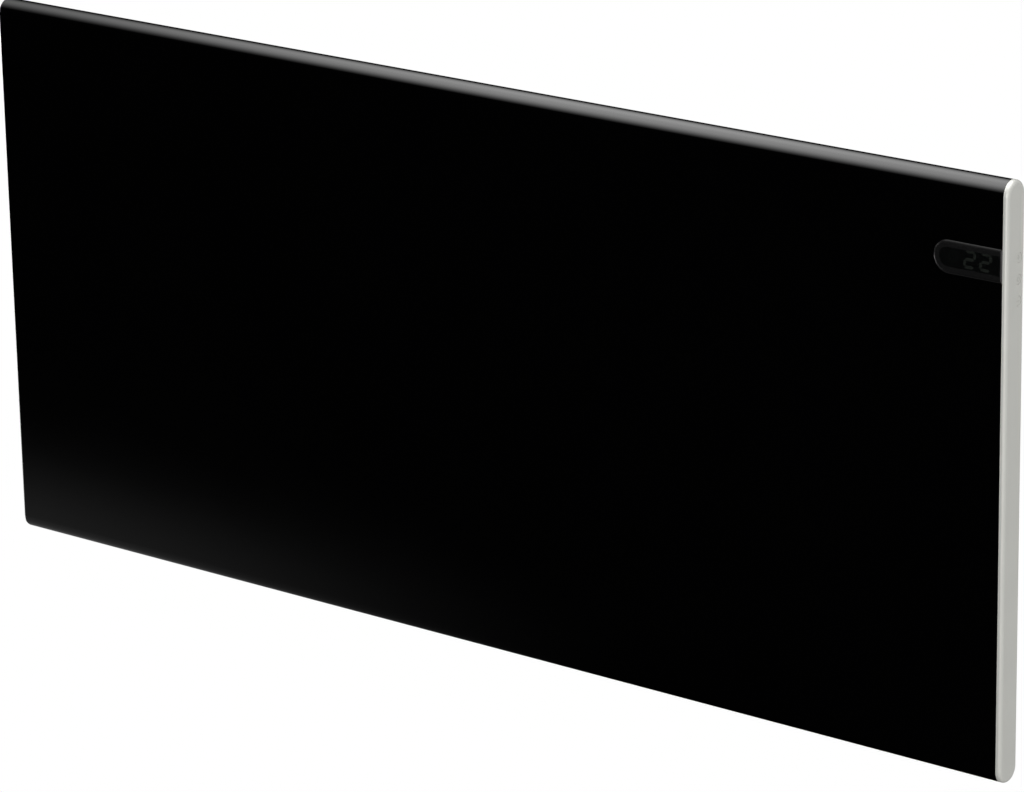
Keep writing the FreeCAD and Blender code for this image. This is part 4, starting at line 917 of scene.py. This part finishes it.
class HEATER_OT_screws(bpy.types.Operator):
    """Set pan-head screws with cross recesses round the casing's flange"""

    bl_idname = "heater.screws"
    bl_label = "Screws"

    def execute(self, context):
        looks = context.scene.heater_looks.screw
        row = panel_high.z - looks.edge_inset
        casing = [(step * looks.casing_pitch, sign * row) for step in (-2, -1, 0, 1, 2) for sign in (1, -1)]
        cap = [(side * (cap_high.x - looks.cap_inset), sign * row) for side in (1, -1) for sign in (1, -1)]
        middle = panel_high.z - looks.control_drop
        control_x = cap_high.x - looks.control_across
        control = [(control_x, middle + sign * looks.control_rise) for sign in (1, -1)]
        material = bare_metal("screw_zinc", looks.zinc, roughness=0.3, patch=3 * MM)
        flange = panel_high.y + looks.flange
        for name, places in (("casing", casing), ("cap", cap), ("control", control)):
            bm = bmesh.new()
            for number, (x, z) in enumerate(places):
                self.add_head(bm, looks, Vector((x, flange, z)), looks.turn * number)
            new_piece(f"{name}_screws", bm, material, "heater")
        return {"FINISHED"}

    def add_head(self, bm, looks, place, turned):
        """One domed head, whose cross recess is sunk into its rings."""
        least_share = 0.02
        loops = []
        for ring in range(looks.rings + 1):
            reach = looks.head_radius * max(least_share, 1 - ring / looks.rings)
            points = []
            for turn in round_turns(looks.segments):
                rise = self.height(looks, reach * math.cos(turn), reach * math.sin(turn))
                x, z = reach * math.cos(turn + turned), reach * math.sin(turn + turned)
                points.append((place.x + x, place.y + rise, place.z + z))
            loops.append(points)
        foot = [(x, place.y, z) for x, _, z in loops[0]]
        rings = add_loops(bm, [foot, *loops])
        bm.faces.new(rings[-1])

    def height(self, looks, u, v):
        """How high a head is at a point of it, less in the recess."""
        outwards = math.hypot(u, v) / looks.head_radius
        dome = looks.head_height * math.sqrt(max(0.0, 1 - looks.dome * outwards * outwards))
        long, wide = looks.recess_length / 2, looks.recess_width / 2
        across, along = min(abs(u), abs(v)), max(abs(u), abs(v))
        if across < wide and along < long:
            dome -= looks.recess_depth * min(1.0, (1 - along / long) / (1 - looks.recess_floor))
        return dome


class HEATER_OT_casing(bpy.types.Operator):
    """Powder-coat the casing and its grilles and fit the rubber bumpers"""

    bl_idname = "heater.casing"
    bl_label = "Casing"

    def execute(self, context):
        looks = context.scene.heater_looks.back
        dress(powder_coat(looks), "rear_casing", "outlet_grille", "inlet_grille")
        dress(rubber("bumper_rubber"), "wall_bumpers")
        dress(moulded("sensor_black", looks.holder_black), "sensor_holder", "control_housing", "key_switches")
        soften(looks.edge_round, "rear_casing", "wall_bumpers", "power_switch_body", "sensor_holder")
        return {"FINISHED"}


class HEATER_OT_bracket(bpy.types.Operator):
    """Galvanise the wall bracket and blue its spring clips"""

    bl_idname = "heater.bracket"
    bl_label = "Wall bracket"

    def execute(self, context):
        looks = context.scene.heater_looks.back
        rails = ("bracket_rail_left", "bracket_rail_right")
        bars = ("bracket_bar_upper", "bracket_bar_lower")
        spangle = 14 * MM
        dress(bare_metal("zinc_sheet", looks.zinc, 0.34, spangle, stretch=(1.0, 1.0, 0.04)), *rails)
        zinc_bar = bare_metal("zinc_bar", looks.zinc, 0.34, spangle, stretch=(0.04, 1.0, 1.0))
        dress(zinc_bar, *bars, "hanger_bars")
        spring_steel = bare_metal("spring_steel", looks.clip_steel, roughness=0.28, patch=5 * MM)
        dress(spring_steel, "spring_clip_left", "spring_clip_right")
        soften(looks.edge_round, *rails, *bars)
        return {"FINISHED"}


class HEATER_OT_inside(bpy.types.Operator):
    """Finish the element, the board and the wiring inside the casing"""

    bl_idname = "heater.inside"
    bl_label = "Inside"

    def execute(self, context):
        looks = context.scene.heater_looks.back
        aluminium = bare_metal("element_aluminium", looks.aluminium, 0.36, 20 * MM, stretch=(0.03, 1.0, 1.0))
        dress(aluminium, "heating_element", "heat_shield")
        rod_steel = bare_metal("rod_steel", looks.rod_steel, roughness=0.32, patch=8 * MM)
        dress(rod_steel, "element_rod", "room_sensor")
        support_zinc = bare_metal("support_zinc", looks.zinc, roughness=0.36, patch=10 * MM)
        dress(support_zinc, "element_support_left", "element_support_right")
        dress(glazed_ceramic(), "element_bushes", "overheat_cutout")
        dress(printed_board(), "control_board")
        dress(moulded("connector_grey", looks.block_grey), "board_connector", "terminal_block", "power_relay")
        insulation = moulded("lead_insulation", looks.lead_beige, roughness=0.55)
        dress(insulation, "supply_lead", "switched_lead", "element_lead")
        dress(insulation, "return_lead_left", "return_lead_right", "sensor_lead")
        return {"FINISHED"}


class HEATER_OT_stage(bpy.types.Operator):
    """Set up the pale floor, the tent, the soft light and the camera"""

    bl_idname = "heater.stage"
    bl_label = "Stage"

    def execute(self, context):
        looks = context.scene.heater_looks.stage
        self.make_floor(looks)
        self.make_tent(looks)
        self.make_world(context.scene, looks)
        self.make_lamp("top_lamp", looks.top_place, looks.top_size, looks.top_power)
        self.make_lamp("front_lamp", looks.front_place, looks.front_size, looks.front_power)
        self.make_camera(context.scene, looks)
        context.scene.view_settings.view_transform = "Standard"
        return {"FINISHED"}

    def background_seen(self, finish):
        """1 for the camera, mirrors and glass, 0 for soft light."""
        rays = ("Is Camera Ray", "Is Glossy Ray", "Is Transmission Ray")
        camera, glossy, through = (finish.node("ShaderNodeLightPath", {}, {}, ray) for ray in rays)
        return finish.node("ShaderNodeMath", {"operation": "MINIMUM"}, {0: camera + glossy + through, 1: 1.0})

    def make_floor(self, looks):
        """A plain pale floor that looks white."""
        bm = bmesh.new()
        half = looks.floor_size / 2
        level = panel_low.z - looks.floor_drop
        corners = ((-half, -half), (half, -half), (half, half), (-half, half))
        bm.faces.new([bm.verts.new((x, y, level)) for x, y in corners])
        finish = new_finish("floor_pale", Base_Color=looks.floor_grey, Roughness=0.9)
        white = finish.node("ShaderNodeEmission", {}, {"Color": (1.0, 1.0, 1.0), "Strength": 1.0})
        shader = Value(finish, finish.tree.nodes["Principled BSDF"].outputs[0])
        seen = self.background_seen(finish)
        both = finish.node("ShaderNodeMixShader", {}, {0: seen, 1: shader, 2: white})
        finish.feed(finish.tree.nodes["Material Output"].inputs["Surface"], both)
        floor = add_object("floor", bm, finish.owner)

    def make_tent(self, looks):
        """A cloth bent round the heater, dark with bright parts, that only gloss shows."""
        rows = []
        for step in range(looks.tent_steps + 1):
            rise = looks.tent_low + (looks.tent_high - looks.tent_low) * step / looks.tent_steps
            y, z = -looks.tent_radius * math.cos(rise), looks.tent_radius * math.sin(rise)
            rows.append([(x, y, z) for x in (-looks.tent_left, looks.tent_right)])
        bm = bmesh.new()
        add_loops(bm, rows, closed=False)
        tent = add_object("tent", bm, tent_cloth(looks))
        tent.visible_camera = False
        tent.visible_diffuse = False
        tent.visible_shadow = False

    def make_world(self, scene, looks):
        """White where it is seen, and soft even light elsewhere."""
        world = bpy.data.worlds.new("studio")
        finish = Finish(world)
        seen = self.background_seen(finish)
        background = finish.tree.nodes["Background"]
        finish.feed(background.inputs["Color"], (1.0, 1.0, 1.0))
        finish.feed(background.inputs["Strength"], seen + (1 - seen) * looks.room_light)
        scene.world = world

    def make_lamp(self, name, place, size, power):
        """A square lamp that faces the heater."""
        lamp = bpy.data.lights.new(name, "AREA")
        lamp.size = size
        lamp.energy = power
        holder = bpy.data.objects.new(name, lamp)
        holder.location = place
        holder.rotation_euler = (-Vector(place)).to_track_quat("-Z", "Y").to_euler()
        bpy.context.scene.collection.objects.link(holder)

    def make_camera(self, scene, looks):
        """A long lens from the front right, a little above."""
        data = bpy.data.cameras.new("camera")
        data.sensor_fit = "HORIZONTAL"
        data.sensor_width = looks.sensor_width
        data.lens = looks.focal_length
        camera = bpy.data.objects.new("camera", data)
        turn = Matrix.Rotation(looks.camera_turn, 4, "Z")
        tilt = Matrix.Rotation(math.pi / 2 - looks.camera_tilt, 4, "X")
        roll = Matrix.Rotation(-looks.camera_roll, 4, "Z")
        camera.matrix_world = Matrix.Translation(looks.camera_place) @ turn @ tilt @ roll
        scene.collection.objects.link(camera)
        scene.camera = camera


class HEATER_PT_looks(bpy.types.Panel):
    """Lists the steps that build the heater's looks, and their sizes and colours"""

    bl_idname = "HEATER_PT_looks"
    bl_label = "Panel heater"
    bl_space_type = "VIEW_3D"
    bl_region_type = "UI"
    bl_category = "Panel heater"

    def draw(self, context):
        for step in STEPS:
            self.layout.operator(step.bl_idname)
        looks = context.scene.heater_looks
        for part in HeaterLooks.__annotations__:
            group = getattr(looks, part)
            box = self.layout.box()
            for name in group.__annotations__:
                box.prop(group, name)


STEPS = (
    HEATER_OT_front_panel,
    HEATER_OT_end_caps,
    HEATER_OT_display,
    HEATER_OT_keys,
    HEATER_OT_rocker,
    HEATER_OT_gland,
    HEATER_OT_screws,
    HEATER_OT_casing,
    HEATER_OT_bracket,
    HEATER_OT_inside,
    HEATER_OT_stage,
)
GROUPS = (
    PanelSizes,
    CapFinish,
    DisplaySizes,
    ScrewSizes,
    GlandSizes,
    RockerSizes,
    BackFinish,
    StageSizes,
    HeaterLooks,
)
CLASSES = (*GROUPS, *STEPS, HEATER_PT_looks)


def register():
    """Add the properties, the operators and the panel."""
    for item in CLASSES:
        bpy.utils.register_class(item)
    bpy.types.Scene.heater_looks = PointerProperty(name="Heater looks", type=HeaterLooks)


def unregister():
    """Take them away again."""
    del bpy.types.Scene.heater_looks
    for item in reversed(CLASSES):
        bpy.utils.unregister_class(item)


def main():
    """Build every piece in order."""
    register()
    for step in STEPS:
        build = getattr(bpy.ops.heater, step.bl_idname.removeprefix("heater."))
        build()


if __name__ == "__main__":
    main()
